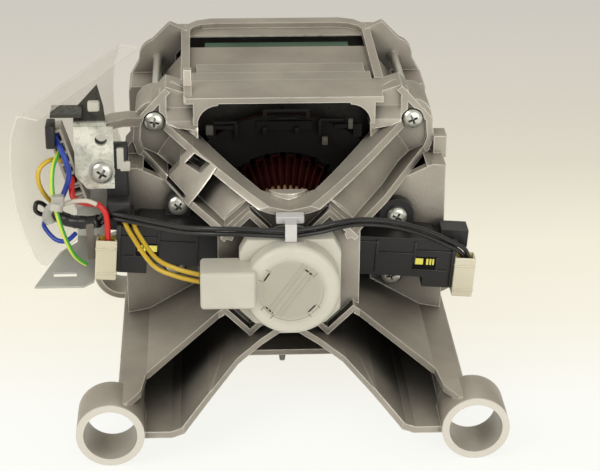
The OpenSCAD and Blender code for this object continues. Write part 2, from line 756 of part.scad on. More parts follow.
// A screw along the shaft with a round head in front and a cross in it
module screw(y, len, r, head_d, head_h) {
    difference() {
        union() {
            bar_y(y, y + len, r);
            bar_y(y - head_h, y, head_d / 2);
        }
        for (a = [45, 135]) rotate([0, a, 0])
            block(-head_d / 4, head_d / 4, y - head_h - over, y - head_h + 1.3, -0.6, 0.6);
    }
}

module tie_bolts() {
    color(steel_c) from_lugs() for (sx = [-1, 1], sz = [-1, 1]) translate([sx * bolt_x, 0, sz * bolt_z])
        screw(seat_y, wall_y1 - 5 - seat_y, bolt_d / 2, bolt_head_d, 3.4);
}

// Deep groove ball bearings
module ring_set(y0, w, bore, od, ball_r, which) {
    pitch_r = (bore + od) / 4;
    inner_r = pitch_r - ball_r * 0.66;
    outer_r = pitch_r + ball_r * 0.66;
    yc = y0 + w / 2;
    if (which == "outer") difference() {
        tube_y(y0, y0 + w, od / 2, outer_r);
        turned() translate([pitch_r, yc]) circle(ball_r + run);
    }
    if (which == "inner") difference() {
        tube_y(y0, y0 + w, inner_r, bore / 2);
        turned() translate([pitch_r, yc]) circle(ball_r + run);
    }
    if (which == "balls") for (i = [0:ball_count - 1]) rotate([0, i * 360 / ball_count, 0])
        translate([pitch_r, yc, 0]) sphere(ball_r);
    if (which == "cage") difference() {
        tube_y(yc - ball_r - 0.7, yc + ball_r + 0.7, pitch_r + 0.8, pitch_r - 0.8);
        for (i = [0:ball_count - 1]) rotate([0, i * 360 / ball_count, 0])
            translate([pitch_r - 4, yc, 0]) rotate([0, 90, 0]) cylinder(h = 8, r = ball_r + run);
    }
}

rear_ball_r = (rear_brg_od - rear_brg_bore) * 0.14;
front_ball_r = (front_brg_od - front_brg_bore) * 0.15;

module rear_bearing(which) {
    from_lugs() ring_set(rear_brg_y0, rear_brg_w, rear_brg_bore, rear_brg_od, rear_ball_r, which);
}

module front_bearing(which) {
    from_lugs() ring_set(front_brg_y0, front_brg_w, front_brg_bore, front_brg_od, front_ball_r, which);
}

module rear_bearing_outer_ring() {
    color(steel_c) rear_bearing("outer");
}

module rear_bearing_inner_ring() {
    color(steel_c) rear_bearing("inner");
}

module rear_bearing_balls() {
    color(steel_c) rear_bearing("balls");
}

module rear_bearing_cage() {
    color(steel_c) rear_bearing("cage");
}

module front_bearing_outer_ring() {
    color(steel_c) front_bearing("outer");
}

module front_bearing_inner_ring() {
    color(steel_c) front_bearing("inner");
}

module front_bearing_balls() {
    color(steel_c) front_bearing("balls");
}

module front_bearing_cage() {
    color(steel_c) front_bearing("cage");
}

module preload_washer() {
    color(steel_c) from_lugs()
        tube_y(hub_y + cast_wall, rear_brg_y0, rear_brg_od / 2 - 0.3, rear_brg_od / 2 - 2.6);
}

// Rotor
rear_r = rear_brg_bore / 2 - snug;
front_r = front_brg_bore / 2 - snug;
pulley_bore_r = 6;
module rotor_shaft() {
    color(steel_c) from_lugs() turned() polygon([
        [0, tacho_y0 + 3.5], [rear_r - 0.6, tacho_y0 + 3.5], [rear_r, tacho_y0 + 4.1],
        [rear_r, rear_brg_y1 + 0.2], [shaft_r, rear_brg_y1 + 0.2], [shaft_r, front_brg_y0 - 0.3],
        [front_r, front_brg_y0 - 0.3], [front_r, nose_y1 + 0.5], [pulley_bore_r, nose_y1 + 0.5],
        [pulley_bore_r, pulley_y1 + 0.6], [pulley_bore_r - 0.6, pulley_y1 + 1.2], [0, pulley_y1 + 1.2]
    ]);
}

module armature_core() {
    color(iron_c) from_lugs() slab(core_y0, core_y1) difference() {
        circle(arm_r);
        circle(shaft_r + snug);
        for (i = [0:bar_count - 1]) rotate(i * pitch_a) {
            translate([arm_r - 4.4, 0]) circle(1.9, $fn = 8);
            translate([arm_r - 12, -1.1]) square([8, 2.2]);
            translate([arm_r - 4, -0.8]) square([6, 1.6]);
        }
    }
}

// Varnished coils: a bundle at each end of the armature
module armature_coils() {
    color(varnish_c) from_lugs() {
        turned() polygon([
            [shaft_r + 0.4, bars_y1 + 4.5], [15.5, bars_y1 + 4.5], [arm_r - 6, core_y0 - 5],
            [arm_r - 4.6, core_y0], [shaft_r + 0.4, core_y0]
        ]);
        turned() polygon([
            [shaft_r + 0.4, core_y1], [arm_r - 3.5, core_y1], [arm_r - 3.5, core_y1 + 8],
            [arm_r - 8, core_y1 + 13.5], [shaft_r + 0.4, core_y1 + 13.5]
        ]);
    }
}

// Wire ends from the hooks to the coils: one unbroken tube, two legs at each bar
wire_r = 0.75;
hook_r = com_r + hook_h;
wire_in = [hook_r - 1.4, bars_y1 + 1.3];
wire_out = [arm_r - 2.6, core_y0 - 3.5];
wire_mid = (wire_in + wire_out) / 2;
function around(q, a) = [q[0] * cos(a), q[1], q[0] * sin(a)];
wire_path = [for (i = [0:bar_count - 1]) each [
    around(wire_in, (i - 0.25) * pitch_a), around(wire_in, (i + 0.25) * pitch_a),
    around(wire_mid, (i + 0.25) * pitch_a), around(wire_out, (i + 0.25) * pitch_a),
    around(wire_out, (i + 0.75) * pitch_a), around(wire_mid, (i + 0.75) * pitch_a)
]];
wire_gap = wire_in[0] * PI * pitch_a / 360 - 2 * wire_r;
echo("least gap of the armature winding to itself", wire_gap);

module armature_winding() {
    m = len(wire_path) - 1;
    n = 6;
    color(copper_c) from_lugs() polyhedron(
        points = [for (i = [0:m - 1])
            let(
                t = unit(wire_path[i + 1] - wire_path[max(i - 1, 0)]),
                q = wire_path[i],
                o = unit([q[0], -norm([q[0], q[2]]) * 0.5, q[2]]),
                u = unit(o - (o * t) * t),
                v = cross(t, u)
            )
            each [for (k = [0:n - 1]) q + wire_r * (cos(60 * k) * u + sin(60 * k) * v)]],
        faces = concat(
            [[for (k = [0:n - 1]) k]],
            [[for (k = [n - 1:-1:0]) (m - 1) * n + k]],
            [for (i = [0:m - 2], k = [0:n - 1]) [i * n + k, (i + 1) * n + k, (i + 1) * n + (k + 1) % n]],
            [for (i = [0:m - 2], k = [0:n - 1]) [i * n + k, (i + 1) * n + (k + 1) % n, i * n + (k + 1) % n]]
        ));
}

module commutator_bars() {
    color(copper_c) from_lugs() difference() {
        turned() polygon([
            [com_r - 3.5, bars_y0], [com_r, bars_y0], [com_r, bars_y1 - 3.5], [hook_r, bars_y1 - 3],
            [hook_r, bars_y1], [com_r - 3.5, bars_y1]
        ]);
        for (i = [0:bar_count - 1]) rotate([0, (i + 0.5) * pitch_a, 0]) {
            block(com_r - 5, com_r + 5, bars_y0 - over, bars_y1 + over, -0.35, 0.35);
            block(com_r + 0.1, com_r + 5, bars_y0 - over, bars_y1 + over, -1.3, 1.3);
        }
    }
}

module commutator_hub() {
    color(black_c) from_lugs() turned() polygon([
        [shaft_r + snug, bars_y0 - 1.5], [com_r - 1, bars_y0 - 1.5], [com_r - 1, bars_y0],
        [com_r - 3.5 - snug, bars_y0], [com_r - 3.5 - snug, bars_y1], [com_r - 2, bars_y1],
        [com_r - 2, bars_y1 + 3], [shaft_r + snug, bars_y1 + 3]
    ]);
}

module cooling_fan() {
    color(black_c) from_lugs() {
        difference() {
            union() {
                bar_y(fan_y0, fan_y1, shaft_r + 4);
                bar_y(fan_y0, fan_y0 + 1.6, fan_d / 2);
            }
            bar_y(fan_y0 - over, fan_y1 + over, shaft_r + snug);
        }
        for (i = [0:blade_count - 1]) rotate([0, i * 360 / blade_count, 0])
            translate([24, 0, 0]) rotate([0, 18, 0]) block(-5, fan_d / 2 - 26, fan_y0 + over, fan_y1, -0.8, 0.8);
    }
}

// Ribbed belt pulley
groove_w = 2.34;
grooves_y0 = pulley_y - groove_count * groove_w / 2;
module drive_pulley() {
    color(steel_c) from_lugs() turned() polygon(concat(
        [[pulley_bore_r + snug, pulley_y0], [pulley_d / 2 + 1, pulley_y0], [pulley_d / 2 + 1, pulley_y0 + 0.8],
            [pulley_d / 2, grooves_y0 - 0.4]],
        [for (i = [0:groove_count - 1]) each [
            [pulley_d / 2, grooves_y0 + (i + 0.12) * groove_w],
            [pulley_d / 2 - 1.8, grooves_y0 + (i + 0.44) * groove_w],
            [pulley_d / 2 - 1.8, grooves_y0 + (i + 0.56) * groove_w],
            [pulley_d / 2, grooves_y0 + (i + 0.88) * groove_w]
        ]],
        [[pulley_d / 2, pulley_y1 - 0.6], [pulley_d / 2 - 0.6, pulley_y1], [pulley_bore_r + snug, pulley_y1]]
    ));
}

// Tacho: magnet on the shaft, coil and cap on the hub
module tacho_magnet() {
    color(black_c) from_lugs() tube_y(tacho_y0 + 5, hub_y - 3, magnet_d / 2, rear_r + snug);
}

module tacho_coil() {
    color(copper_c) from_lugs() tube_y(tacho_y0 + 2, hub_y - 2, tacho_d / 2 - 2.3, magnet_d / 2 + 1.5);
}

cap_box_x0 = -tacho_d / 2 - 18;
module tacho_cap() {
    r = tacho_d / 2;
    color(white_c) from_lugs() difference() {
        union() {
            bar_y(tacho_y0, flange_y0 + over, r);
            slab(flange_y0, hub_y) polygon([
                [-14.8, -r], [14.8, -r], [21.2, -13], [21.2, 13.5], [18, r], [-18, r], [-21.2, 13.5],
                [-21.2, -13]
            ]);
            block(cap_box_x0, -r + 5, tacho_y0 - 3, hub_y - 3.5, -6.8, 10);
            // double ridge across the face
            rotate([0, 34, 0]) for (x = [-2.2, 1.6]) block(x, x + 0.6, tacho_y0 - 0.4, tacho_y0 + over, -15, 14);
        }
        bar_y(tacho_y0 + 2, hub_y + over, r - 2);
        // clip windows in the face
        for (a = [45, 135, 225, 315]) rotate([0, a, 0])
            block(11.4, 12.4, tacho_y0 - over, tacho_y0 + 3, -2.2, 2.2);
        // entries of the two leads
        for (z = [1.5, 4.7])
            translate([cap_box_x0 - over, hub_y - 10, z]) rotate([0, 90, 0]) cylinder(h = 9, r = lead_d / 2 + 0.25);
    }
}

// Brush gear, modelled for the right side
tube_in = [brush_t + 2 * brush_fit, brush_w + 2 * brush_fit];
tube_out = tube_in + [2 * tube_wall, 2 * tube_wall];
brush_x0 = com_r + run;
brush_x1 = com_r + brush_len;
tube_x0 = com_r + 2;
tube_x1 = brush_x1 + brush_travel + 9.5;
holder_x1 = tube_x1 + 10.6;

module holder(lug_r) {
    h = tube_out[0] / 2 + snug;
    w = tube_out[1] / 2 + snug;
    difference() {
        union() {
            block(com_r + 6, tube_x1 + 2, pad_y - holder_t, pad_y, -9, 9);
            block(tube_x1 - 2, holder_x1, pad_y - holder_t, pad_y, -13.6, 8);
            block(holder_x1 - 6, holder_x1 + 5.9, pad_y - holder_t + 4, pad_y - 4, 4.4, 12.3);
            for (sz = [-1, 1]) {
                r = sz > 0 ? lug_r : 5.6;
                bar_y(pad_y - 5, pad_y, r, holder_screw_reach, sz * holder_screw_pitch / 2);
                block(holder_screw_reach - r, holder_screw_reach + r, pad_y - 5, pad_y,
                    min(sz * 5, sz * holder_screw_pitch / 2), max(sz * 5, sz * holder_screw_pitch / 2));
            }
        }
        block(com_r, tube_x1, brush_y - w, brush_y + w, -h, h);
        // channel of the terminal strip along the tube
        block(tube_x1 - 12, holder_x1 + over, brush_y - w - tube_wall - 0.1, brush_y - w + 0.1, -2.7, 2.7);
        for (sz = [-1, 1])
            bar_y(pad_y - 9, pad_y + over, holder_screw_d / 2 + 0.2, holder_screw_reach, sz * holder_screw_pitch / 2);
    }
}

module brush_tube() {
    difference() {
        block(tube_x0, tube_x1, brush_y - tube_out[1] / 2, brush_y + tube_out[1] / 2, -tube_out[0] / 2, tube_out[0] / 2);
        block(tube_x0 - over, tube_x1 - tube_wall, brush_y - tube_in[1] / 2, brush_y + tube_in[1] / 2,
            -tube_in[0] / 2, tube_in[0] / 2);
    }
}

module carbon_brush() {
    difference() {
        block(com_r - 1, brush_x1, brush_y - brush_w / 2, brush_y + brush_w / 2, -brush_t / 2, brush_t / 2);
        bar_y(brush_y - brush_w, brush_y + brush_w, brush_x0);
    }
}

spring_turns = 9;
spring_r = brush_t / 2 - 0.5;
spring_len = tube_x1 - tube_wall - brush_x1;
module brush_spring() {
    n = 8 * spring_turns;
    sweep([for (i = [0:n]) [
        brush_x1 + 0.33 + (spring_len - 0.66) * i / n, brush_y + spring_r * cos(45 * i), spring_r * sin(45 * i)
    ]], 0.3, 6, [1, 0, 0]);
}

cover_x = [holder_x1 + 0.4, holder_x1 + 9.4];
cover_z = [-16.2, 2.2];
strip_y0 = brush_y - tube_out[1] / 2 - tube_wall;
module brush_terminal() {
    block(tube_x1 - 11, cover_x[1] - 1.4, strip_y0, strip_y0 + tube_wall, -2.5, 2.5);
    block(cover_x[0] + 1.4, cover_x[1] - 1.4, strip_y0, strip_y0 + tube_wall, -14, 1);
}

module terminal_cover() {
    difference() {
        block(cover_x[0], cover_x[1], strip_y0 - 4.2, strip_y0 + 3.6, cover_z[0], cover_z[1]);
        block(cover_x[0] + over, cover_x[1] - over, strip_y0 - 3.1, strip_y0 + 2.5, cover_z[0] + over, cover_z[1] + over);
        block(cover_x[0] - over, cover_x[0] + 2, strip_y0 - 0.2, strip_y0 + tube_wall + 0.2, -2.8, 2.8);
    }
}

module holder_screw() {
    for (sz = [-1, 1]) translate([holder_screw_reach, 0, sz * holder_screw_pitch / 2])
        screw(pad_y - 5, 9.5, holder_screw_d / 2 - snug, screw_head_d, 3);
}

module brush_holder_left() {
    color(black_c) from_lugs() on_left() holder(5.2);
}

module brush_holder_right() {
    color(black_c) from_lugs() on_right() holder(7.6);
}

module brush_tube_left() {
    color(brass_c) from_lugs() on_left() brush_tube();
}

module brush_tube_right() {
    color(brass_c) from_lugs() on_right() brush_tube();
}

module carbon_brush_left() {
    color(black_c) from_lugs() on_left() carbon_brush();
}

module carbon_brush_right() {
    color(black_c) from_lugs() on_right() carbon_brush();
}

module brush_spring_left() {
    color(steel_c) from_lugs() on_left() brush_spring();
}

module brush_spring_right() {
    color(steel_c) from_lugs() on_right() brush_spring();
}

module brush_terminals() {
    color(brass_c) from_lugs() {
        on_left() brush_terminal();
        on_right() brush_terminal();
    }
}

module terminal_cover_left() {
    color(white_c) from_lugs() on_left() terminal_cover();
}

module terminal_cover_right() {
    color(white_c) from_lugs() on_right() terminal_cover();
}

module holder_screws() {
    color(steel_c) from_lugs() {
        on_left() holder_screw();
        on_right() holder_screw();
    }
}

// Steel bracket with the connector, on the upper left
module terminal_bracket() {
    color(steel_c) from_lugs() difference() {
        union() {
            slab(bracket_y, conn_y0) polygon([
                [bracket_x0, bracket_z1], [bracket_x1, bracket_z1 - 0.5], [bracket_x1, bracket_z0],
                [bracket_x0 + 4.8, bracket_z0], [bracket_x0, bracket_z0 + 6]
            ]);
            translate([0, bracket_y, bracket_z1 - 1]) rotate([-31, 0, 0]) slab(0, sheet_t) polygon([
                [bracket_x0, 0], [bracket_x0, 8], [bracket_x0 + 10, 19], [bracket_x0 + 12.6, 10],
                [bracket_x0 + 14, 0]
            ]);
            // ear under the guard
            block(bracket_x0 - 9, bracket_x0 + 4, bracket_y - 6, bracket_y + 5.4, bracket_z1 + 6.2, bracket_z1 + 7.7);
        }
        bar_y(bracket_y - over, conn_y0 + over, bracket_screw_d / 2 + 0.2, bracket_screw_x, bracket_screw_z);
        bar_y(bracket_y - over, conn_y0 + over, 2.6, bracket_screw_x, bracket_hole_z);
        translate([0, bracket_y, bracket_z1 - 1]) rotate([-31, 0, 0])
            bar_y(-over, sheet_t + over, 1.5, bracket_x0 + 8.6, 9.6);
    }
}

module bracket_screw() {
    color(steel_c) from_lugs() translate([bracket_screw_x, 0, bracket_screw_z])
        screw(bracket_y, 11, bracket_screw_d / 2 - snug, 9.2, 3.2);
}

contact_count = 7;
module at_connector() {
    translate([conn_top[0], 0, conn_top[1]]) rotate([0, conn_turn, 0]) children();
}

module connector_housing() {
    color(white_c) from_lugs() at_connector() difference() {
        block(-3.1, 3.1, conn_y0, conn_y1, -connector_len, 0);
        for (i = [0:contact_count - 1])
            block(-1.9, 1.9, conn_y0 - over, conn_y1 - 1.5,
                -(i + 0.86) * contact_pitch - 1, -(i + 0.14) * contact_pitch - 1);
    }
}

module connector_contacts() {
    color(brass_c) from_lugs() at_connector() for (i = [0:contact_count - 1])
        block(-1.4, 1.4, conn_y1 - 7.5, conn_y1 - 1.5,
            -(i + 0.5) * contact_pitch - 1.4, -(i + 0.5) * contact_pitch - 0.6);
}

// Steel bracket below the connector that carries the guard
module lower_bracket() {
    fold = [conn_y1 + sheet_t, 1];
    color(steel_c) from_lugs() difference() {
        union() {
            block(bracket_x1 - 17.6, bracket_screw_x + 1.6, conn_y1, conn_y1 + sheet_t, 0, bracket_screw_z + 5);
            translate([0, fold[0], fold[1]]) rotate([34, 0, 0]) plan(-sheet_t, 0) polygon([
                [bracket_x1 - 17.6, 0], [bracket_x1 - 17.6, -5], [bracket_x1 - 25, -10],
                [bracket_x1 - 35.6, -27.5], [bracket_x1 - 14.6, -27.5], [bracket_x1 - 10.1, -25],
                [bracket_x1 - 6.6, 0]
            ]);
        }
        bar_y(conn_y1 - over, conn_y1 + 3, bracket_screw_d / 2 + 0.2, bracket_screw_x, bracket_screw_z);
        translate([0, fold[0], fold[1]]) rotate([34, 0, 0]) plan(-3, 2) polygon([
            [bracket_x1 - 27.6, -22.5], [bracket_x1 - 17.6, -22.5], [bracket_x1 - 17.6, -20.5],
            [bracket_x1 - 27.6, -20.5]
        ]);
    }
}

module earth_terminal() {
    color(steel_c) from_lugs() slab(pad_y - holder_t, pad_y - holder_t + 1) polygon([
        [bracket_x1 - 12.6, 14], [bracket_x1 - 9.2, 14.6], [bracket_x1 - 9, -2], [bracket_x1 - 12.2, -2.4]
    ]);
}

// Clear guard beside the connector, running back along the motor
guard_front = [
    [bracket_x0 - 13.6, bracket_z1 + 8], [bracket_x0 - 23, bracket_z1 + 8.4], [bracket_x0 - 26.4, bracket_z1 - 0.8],
    [bracket_x0 - 27.4, bracket_z1 - 11.1], [bracket_x0 - 27.4, bracket_z1 - 22.8], [bracket_x0 - 25.9, bracket_z1 - 33.3],
    [bracket_x0 - 22.6, bracket_z1 - 44.8], [bracket_x0 - 18.3, bracket_z1 - 54.8], [bracket_x0 - 15.5, bracket_z1 - 57.6],
    [bracket_x0 - 13.5, bracket_z1 - 57.6]
];
module splash_guard() {
    color([0.85, 0.88, 0.86, 0.4]) from_lugs() difference() {
        translate([bracket_x0 - 10, pad_y - 26, 0]) rotate([0, 0, -23.3]) translate([10 - bracket_x0, 0, 0])
            slab(0, guard_len) polygon(strip(guard_front, -guard_t));
        block(-rim_x - 1.5, 0, pad_y - 6, wall_y1, -20, 46);
    }
}

module cable_clip() {
    color(white_c) from_lugs() {
        block(-5.8, 5.8, hub_y - 5.4, hub_y, 25.4, 28.4);
        block(-2.4, 2.4, hub_y - 12.4, hub_y - 5, 26.2, 28);
        block(-2.4, 2.4, hub_y - 12.4, hub_y - 11.4, 20.2, 28);
    }
}

// Leads
lead_r = lead_d / 2;
brush_lead_points = [
    [-79.4, 70.5, 13.6], [-76, 70, 16], [-66.9, 64.4, 16.9], [-54.8, 54, 18.7], [-43.9, 46, 19.8], [-33.1, 40, 21.7],
    [-22.1, 37.6, 22.4], [-11, 36.6, 22.2], [0, 36.4, 21.8], [11.3, 37, 23], [20.6, 40, 23.8],
    [29.4, 46, 22.3], [42.2, 56, 16.9], [54.7, 62, 11], [67.1, 65, 4.3], [75.2, 67.4, -1.2],
    [76.9, 67.8, -6]
];
tacho_lead_a = [
    [-70.2, 78, 21.8], [-69.2, 70.8, 19.2], [-66, 69, 15], [-63.8, 64.6, 11.4], [-56.3, 49, 7.2],
    [-47.8, 40, 6.2], [-37, 36, 4.7]
];
tacho_lead_b = [
    [-75.2, 77, 22.8], [-73.5, 70.6, 20], [-70, 69.7, 15.2], [-66.6, 64, 11], [-57.4, 46, 5.2],
    [-47.9, 39.4, 3], [-37, 36, 1.5]
];
// The leads of the connector start on its contacts, one in each chamber
function chamber(i) = let(z = -(i + 0.5) * contact_pitch - 1)
    [conn_top[0] + z * sin(conn_turn), conn_top[1] + z * cos(conn_turn)];
function from_chamber(i, p) = let(c = chamber(i))
    concat([[c[0], conn_y1 - 7.6, c[1]], [c[0], conn_y0 - 1.6, c[1]]], p);
red_points = from_chamber(4, [
    [-91, 71.4, 25.4], [-85.5, 69.4, 23.4], [-80.9, 67.8, 23.6], [-77.6, 67.5, 20.3], [-76.7, 67.5, 14.2],
    [-76.9, 67.5, 3]
]);
earth_points = from_chamber(1, [
    [-98.6, 68, 40.6], [-99, 64, 31], [-96.8, 60.4, 20.8], [-93.9, 60, 10.6], [-90.6, 62, 2.1], [-86.2, 66, -3.6]
]);
blue_points = from_chamber(0, [[-94.4, 71, 45.6], [-92.2, 70.6, 37], [-93.6, 70.6, 30.6], [-97, 74.6, 22]]);
blue_tail_points = [
    [-102.2, 79.8, 12.9], [-104.4, 76.2, 10.4], [-99.6, 70.4, 6.6], [-94.6, 69, 6.2], [-90.6, 72.4, 8.2]
];
yellow_points = from_chamber(2, [
    [-99.9, 73, 42], [-104.4, 70.4, 39.2], [-105, 69, 33.6], [-102.6, 70, 27], [-98.6, 75.4, 19.6]
]);
black_points = [
    [-102.2, 81.2, 15.8], [-105, 78.4, 19.8], [-107, 75, 21.4], [-107.4, 74.2, 18.2], [-105, 76.2, 15.6],
    [-102.4, 78.6, 15.4]
];
pale_points = [[-94.4, 62.4, 26], [-90, 65, 26.4], [-84.6, 65.4, 26.2], [-80.8, 65.4, 24.6]];
sleeve_points = [[-100.6, 80, 14.4], [-93.3, 77.6, 11.8], [-86, 74.6, 12.2], [-80.6, 71.4, 14.2]];
lead_ref = [0.6, 0.5, 0.7];

module brush_leads() {
    color(black_c) from_lugs() {
        sweep(brush_lead_points, lead_r);
        sweep([for (i = [0:len(brush_lead_points) - 1])
            let(t = heading(brush_lead_points, i)) brush_lead_points[i] + unit([-t[2], 0, t[0]]) * (lead_d + 0.3)
        ], lead_r);
    }
}

module tacho_leads() {
    color([0.9, 0.66, 0.1]) from_lugs() {
        sweep(tacho_lead_a, lead_r);
        sweep(tacho_lead_b, lead_r);
    }
}

module red_lead() {
    color([0.78, 0.1, 0.08]) from_lugs() sweep(red_points, lead_r + 0.3, ref = lead_ref);
}

module earth_lead() {
    color([0.45, 0.72, 0.2]) from_lugs() sweep(earth_points, lead_r, ref = [1, 0, 0]);
}

module blue_leads() {
    color([0.1, 0.25, 0.7]) from_lugs() {
        sweep(blue_points, lead_r + 0.2, ref = [1, 0, 0]);
        sweep(blue_tail_points, lead_r, ref = lead_ref);
    }
}

module yellow_loop() {
    color([0.9, 0.66, 0.1]) from_lugs() sweep(yellow_points, lead_r, ref = lead_ref);
}

module black_loop() {
    color(black_c) from_lugs() sweep(black_points, lead_r, ref = [1, -1, 0.4]);
}

module pale_lead() {
    color(white_c) from_lugs() sweep(pale_points, lead_r);
}

module black_sleeve() {
    color(black_c) from_lugs() sweep(sleeve_points, 3);
}

module cable_tie() {
    color(white_c) from_lugs() translate([-97.6, 61.8, 25]) rotate([-19, 12, 0]) difference() {
        translate([0, 0, -1.5]) cylinder(h = 3, r = lead_r + 2);
        translate([0, 0, -4]) cylinder(h = 8, r = lead_r + 0.7);
    }
}

rear_end_shield();
front_end_shield();
stator_core();
upper_field_coil();
lower_field_coil();
rear_coil_frame();
front_coil_frame();
insulation_strip();
tie_bolts();
rear_bearing_outer_ring();
rear_bearing_inner_ring();
rear_bearing_balls();
rear_bearing_cage();
front_bearing_outer_ring();
front_bearing_inner_ring();
front_bearing_balls();
front_bearing_cage();
preload_washer();
rotor_shaft();
armature_core();
armature_coils();
armature_winding();
commutator_bars();
commutator_hub();
cooling_fan();
drive_pulley();
tacho_magnet();
tacho_coil();
tacho_cap();
brush_holder_left();
brush_holder_right();
brush_tube_left();
brush_tube_right();
carbon_brush_left();
carbon_brush_right();
brush_spring_left();
brush_spring_right();
brush_terminals();
terminal_cover_left();
terminal_cover_right();
holder_screws();
terminal_bracket();
bracket_screw();
connector_housing();
connector_contacts();
lower_bracket();
earth_terminal();
splash_guard();
cable_clip();
brush_leads();
tacho_leads();
red_lead();
earth_lead();
blue_leads();
yellow_loop();
black_loop();
pale_lead();
black_sleeve();
cable_tie();
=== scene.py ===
import math
import random

import bpy
from mathutils import Matrix, Vector


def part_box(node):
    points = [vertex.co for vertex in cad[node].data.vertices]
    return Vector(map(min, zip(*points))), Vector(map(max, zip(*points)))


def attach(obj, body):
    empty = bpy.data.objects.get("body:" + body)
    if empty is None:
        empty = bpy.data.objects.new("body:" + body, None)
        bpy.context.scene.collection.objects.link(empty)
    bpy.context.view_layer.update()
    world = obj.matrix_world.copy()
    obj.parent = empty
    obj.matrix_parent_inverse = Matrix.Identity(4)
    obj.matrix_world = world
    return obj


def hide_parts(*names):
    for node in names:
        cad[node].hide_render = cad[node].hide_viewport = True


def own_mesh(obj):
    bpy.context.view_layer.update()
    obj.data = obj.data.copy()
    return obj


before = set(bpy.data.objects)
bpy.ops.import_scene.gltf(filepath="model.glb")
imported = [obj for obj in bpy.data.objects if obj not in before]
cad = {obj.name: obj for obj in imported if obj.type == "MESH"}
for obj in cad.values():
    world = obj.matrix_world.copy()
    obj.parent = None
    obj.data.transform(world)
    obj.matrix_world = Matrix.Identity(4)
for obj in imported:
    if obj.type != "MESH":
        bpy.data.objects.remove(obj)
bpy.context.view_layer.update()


# The motor stands on its lugs on a pale table, seen from above the commutator end
# through a long lens, as in the photograph. The table's colour darkens from cream near the motor to
# grey-beige further back.
look = Vector((0.0503, 0.9090, -0.4144)).normalized()
right = look.cross(Vector((0, 0, 1))).normalized()
up = right.cross(look)
roll = 0.0079
cam_right = right * math.cos(roll) + up * math.sin(roll)
cam_up = up * math.cos(roll) - right * math.sin(roll)
eye = (-0.03483, -0.89684, 0.34026)
camera_data = bpy.data.cameras.new("camera")
camera_data.lens = 112.04
camera_data.clip_start = 0.01
camera = bpy.data.objects.new("camera", camera_data)
bpy.context.scene.collection.objects.link(camera)
camera.matrix_world = Matrix(
    [(cam_right[k], cam_up[k], -look[k], eye[k]) for k in range(3)] + [(0, 0, 0, 1)])
bpy.context.scene.camera = camera
bpy.context.scene.view_settings.view_transform = "Standard"

table_z = -0.0643
bpy.ops.object.select_all(action="DESELECT")
bpy.ops.mesh.primitive_plane_add(size=12, location=(0, 2, table_z))
table = bpy.context.object
table.name = "table"


def placed(tree, kind, inputs=None, **settings):
    """A new node in a tree. An input is given a value or the output that feeds it."""
    node = tree.nodes.new(kind)
    for name, value in settings.items():
        setattr(node, name, value)
    for name, value in (inputs or {}).items():
        if isinstance(value, bpy.types.NodeSocket):
            tree.links.new(value, node.inputs[name])
        else:
            node.inputs[name].default_value = value
    return node


def own_place(tree):
    """Where each point lies in the part's own frame."""
    return placed(tree, "ShaderNodeTexCoord").outputs["Object"]


def maths(tree, operation, *values):
    """Arithmetic on amounts that vary over the surface."""
    return placed(tree, "ShaderNodeMath", dict(enumerate(values)), operation=operation).outputs[0]


def spread_over(tree, value, start, end, low=0.0, high=1.0):
    """An amount that goes from low to high while a value goes from start to end."""
    return placed(tree, "ShaderNodeMapRange", {
        "Value": value, "From Min": start, "From Max": end, "To Min": low, "To Max": high,
    }).outputs[0]


def colour_ramp(tree, amount, *stops):
    """A colour that follows an amount, with each stop given as (place, colour)."""
    ramp = placed(tree, "ShaderNodeValToRGB", {0: amount})
    elements = ramp.color_ramp.elements
    for element, (place, colour) in zip(elements, (stops[0], stops[-1])):
        element.position = place
        element.color = (*colour, 1)
    for place, colour in stops[1:-1]:
        elements.new(place).color = (*colour, 1)
    return ramp


def new_material(name):
    """A material with its node tree and its Principled shader."""
    material = bpy.data.materials.new(name)
    material.use_nodes = True
    return material, material.node_tree, material.node_tree.nodes["Principled BSDF"]


def seen_direct(tree):
    """1 where the camera sees a point straight, in a mirror or through glass."""
    rays = placed(tree, "ShaderNodeLightPath").outputs
    glossy = maths(tree, "MAXIMUM", rays["Is Camera Ray"], rays["Is Glossy Ray"])
    return maths(tree, "MAXIMUM", glossy, rays["Is Transmission Ray"])


paper, tree, shader = new_material("pale_table")
shader.inputs["Roughness"].default_value = 0.9
apart = placed(tree, "ShaderNodeSeparateXYZ", {0: own_place(tree)})
# The table is cream near the motor and grey-beige further back.
table_tone_by_distance = colour_ramp(
    tree, spread_over(tree, apart.outputs["Y"], -2.2, -1.6),
    (0, (1.0, 1.0, 0.96)), (0.15, (0.97, 0.935, 0.81)), (0.3, (0.93, 0.885, 0.73)),
    (0.48, (0.76, 0.715, 0.60)), (0.65, (0.70, 0.655, 0.57)), (1, (0.63, 0.605, 0.55)))
tree.links.new(table_tone_by_distance.outputs[0], shader.inputs["Base Color"])
glow = placed(tree, "ShaderNodeEmission", {"Color": table_tone_by_distance.outputs[0]})
plain_share = 0.88
either = placed(tree, "ShaderNodeMixShader", {
    0: maths(tree, "MULTIPLY", seen_direct(tree), plain_share),
    1: shader.outputs[0], 2: glow.outputs[0]})
tree.links.new(either.outputs[0], tree.nodes["Material Output"].inputs["Surface"])
table.data.materials.append(paper)

world = bpy.data.worlds.new("room")
bpy.context.scene.world = world
world.use_nodes = True
tree = world.node_tree
room = tree.nodes["Background"]
room.inputs["Color"].default_value = (1.0, 0.97, 0.92, 1)
room.inputs["Strength"].default_value = 0.5
backdrop = placed(tree, "ShaderNodeBackground", {"Color": (0.60, 0.585, 0.52, 1)})
choice = placed(tree, "ShaderNodeMixShader", {
    0: seen_direct(tree), 1: room.outputs[0], 2: backdrop.outputs[0]})
tree.links.new(choice.outputs[0], tree.nodes["World Output"].inputs["Surface"])

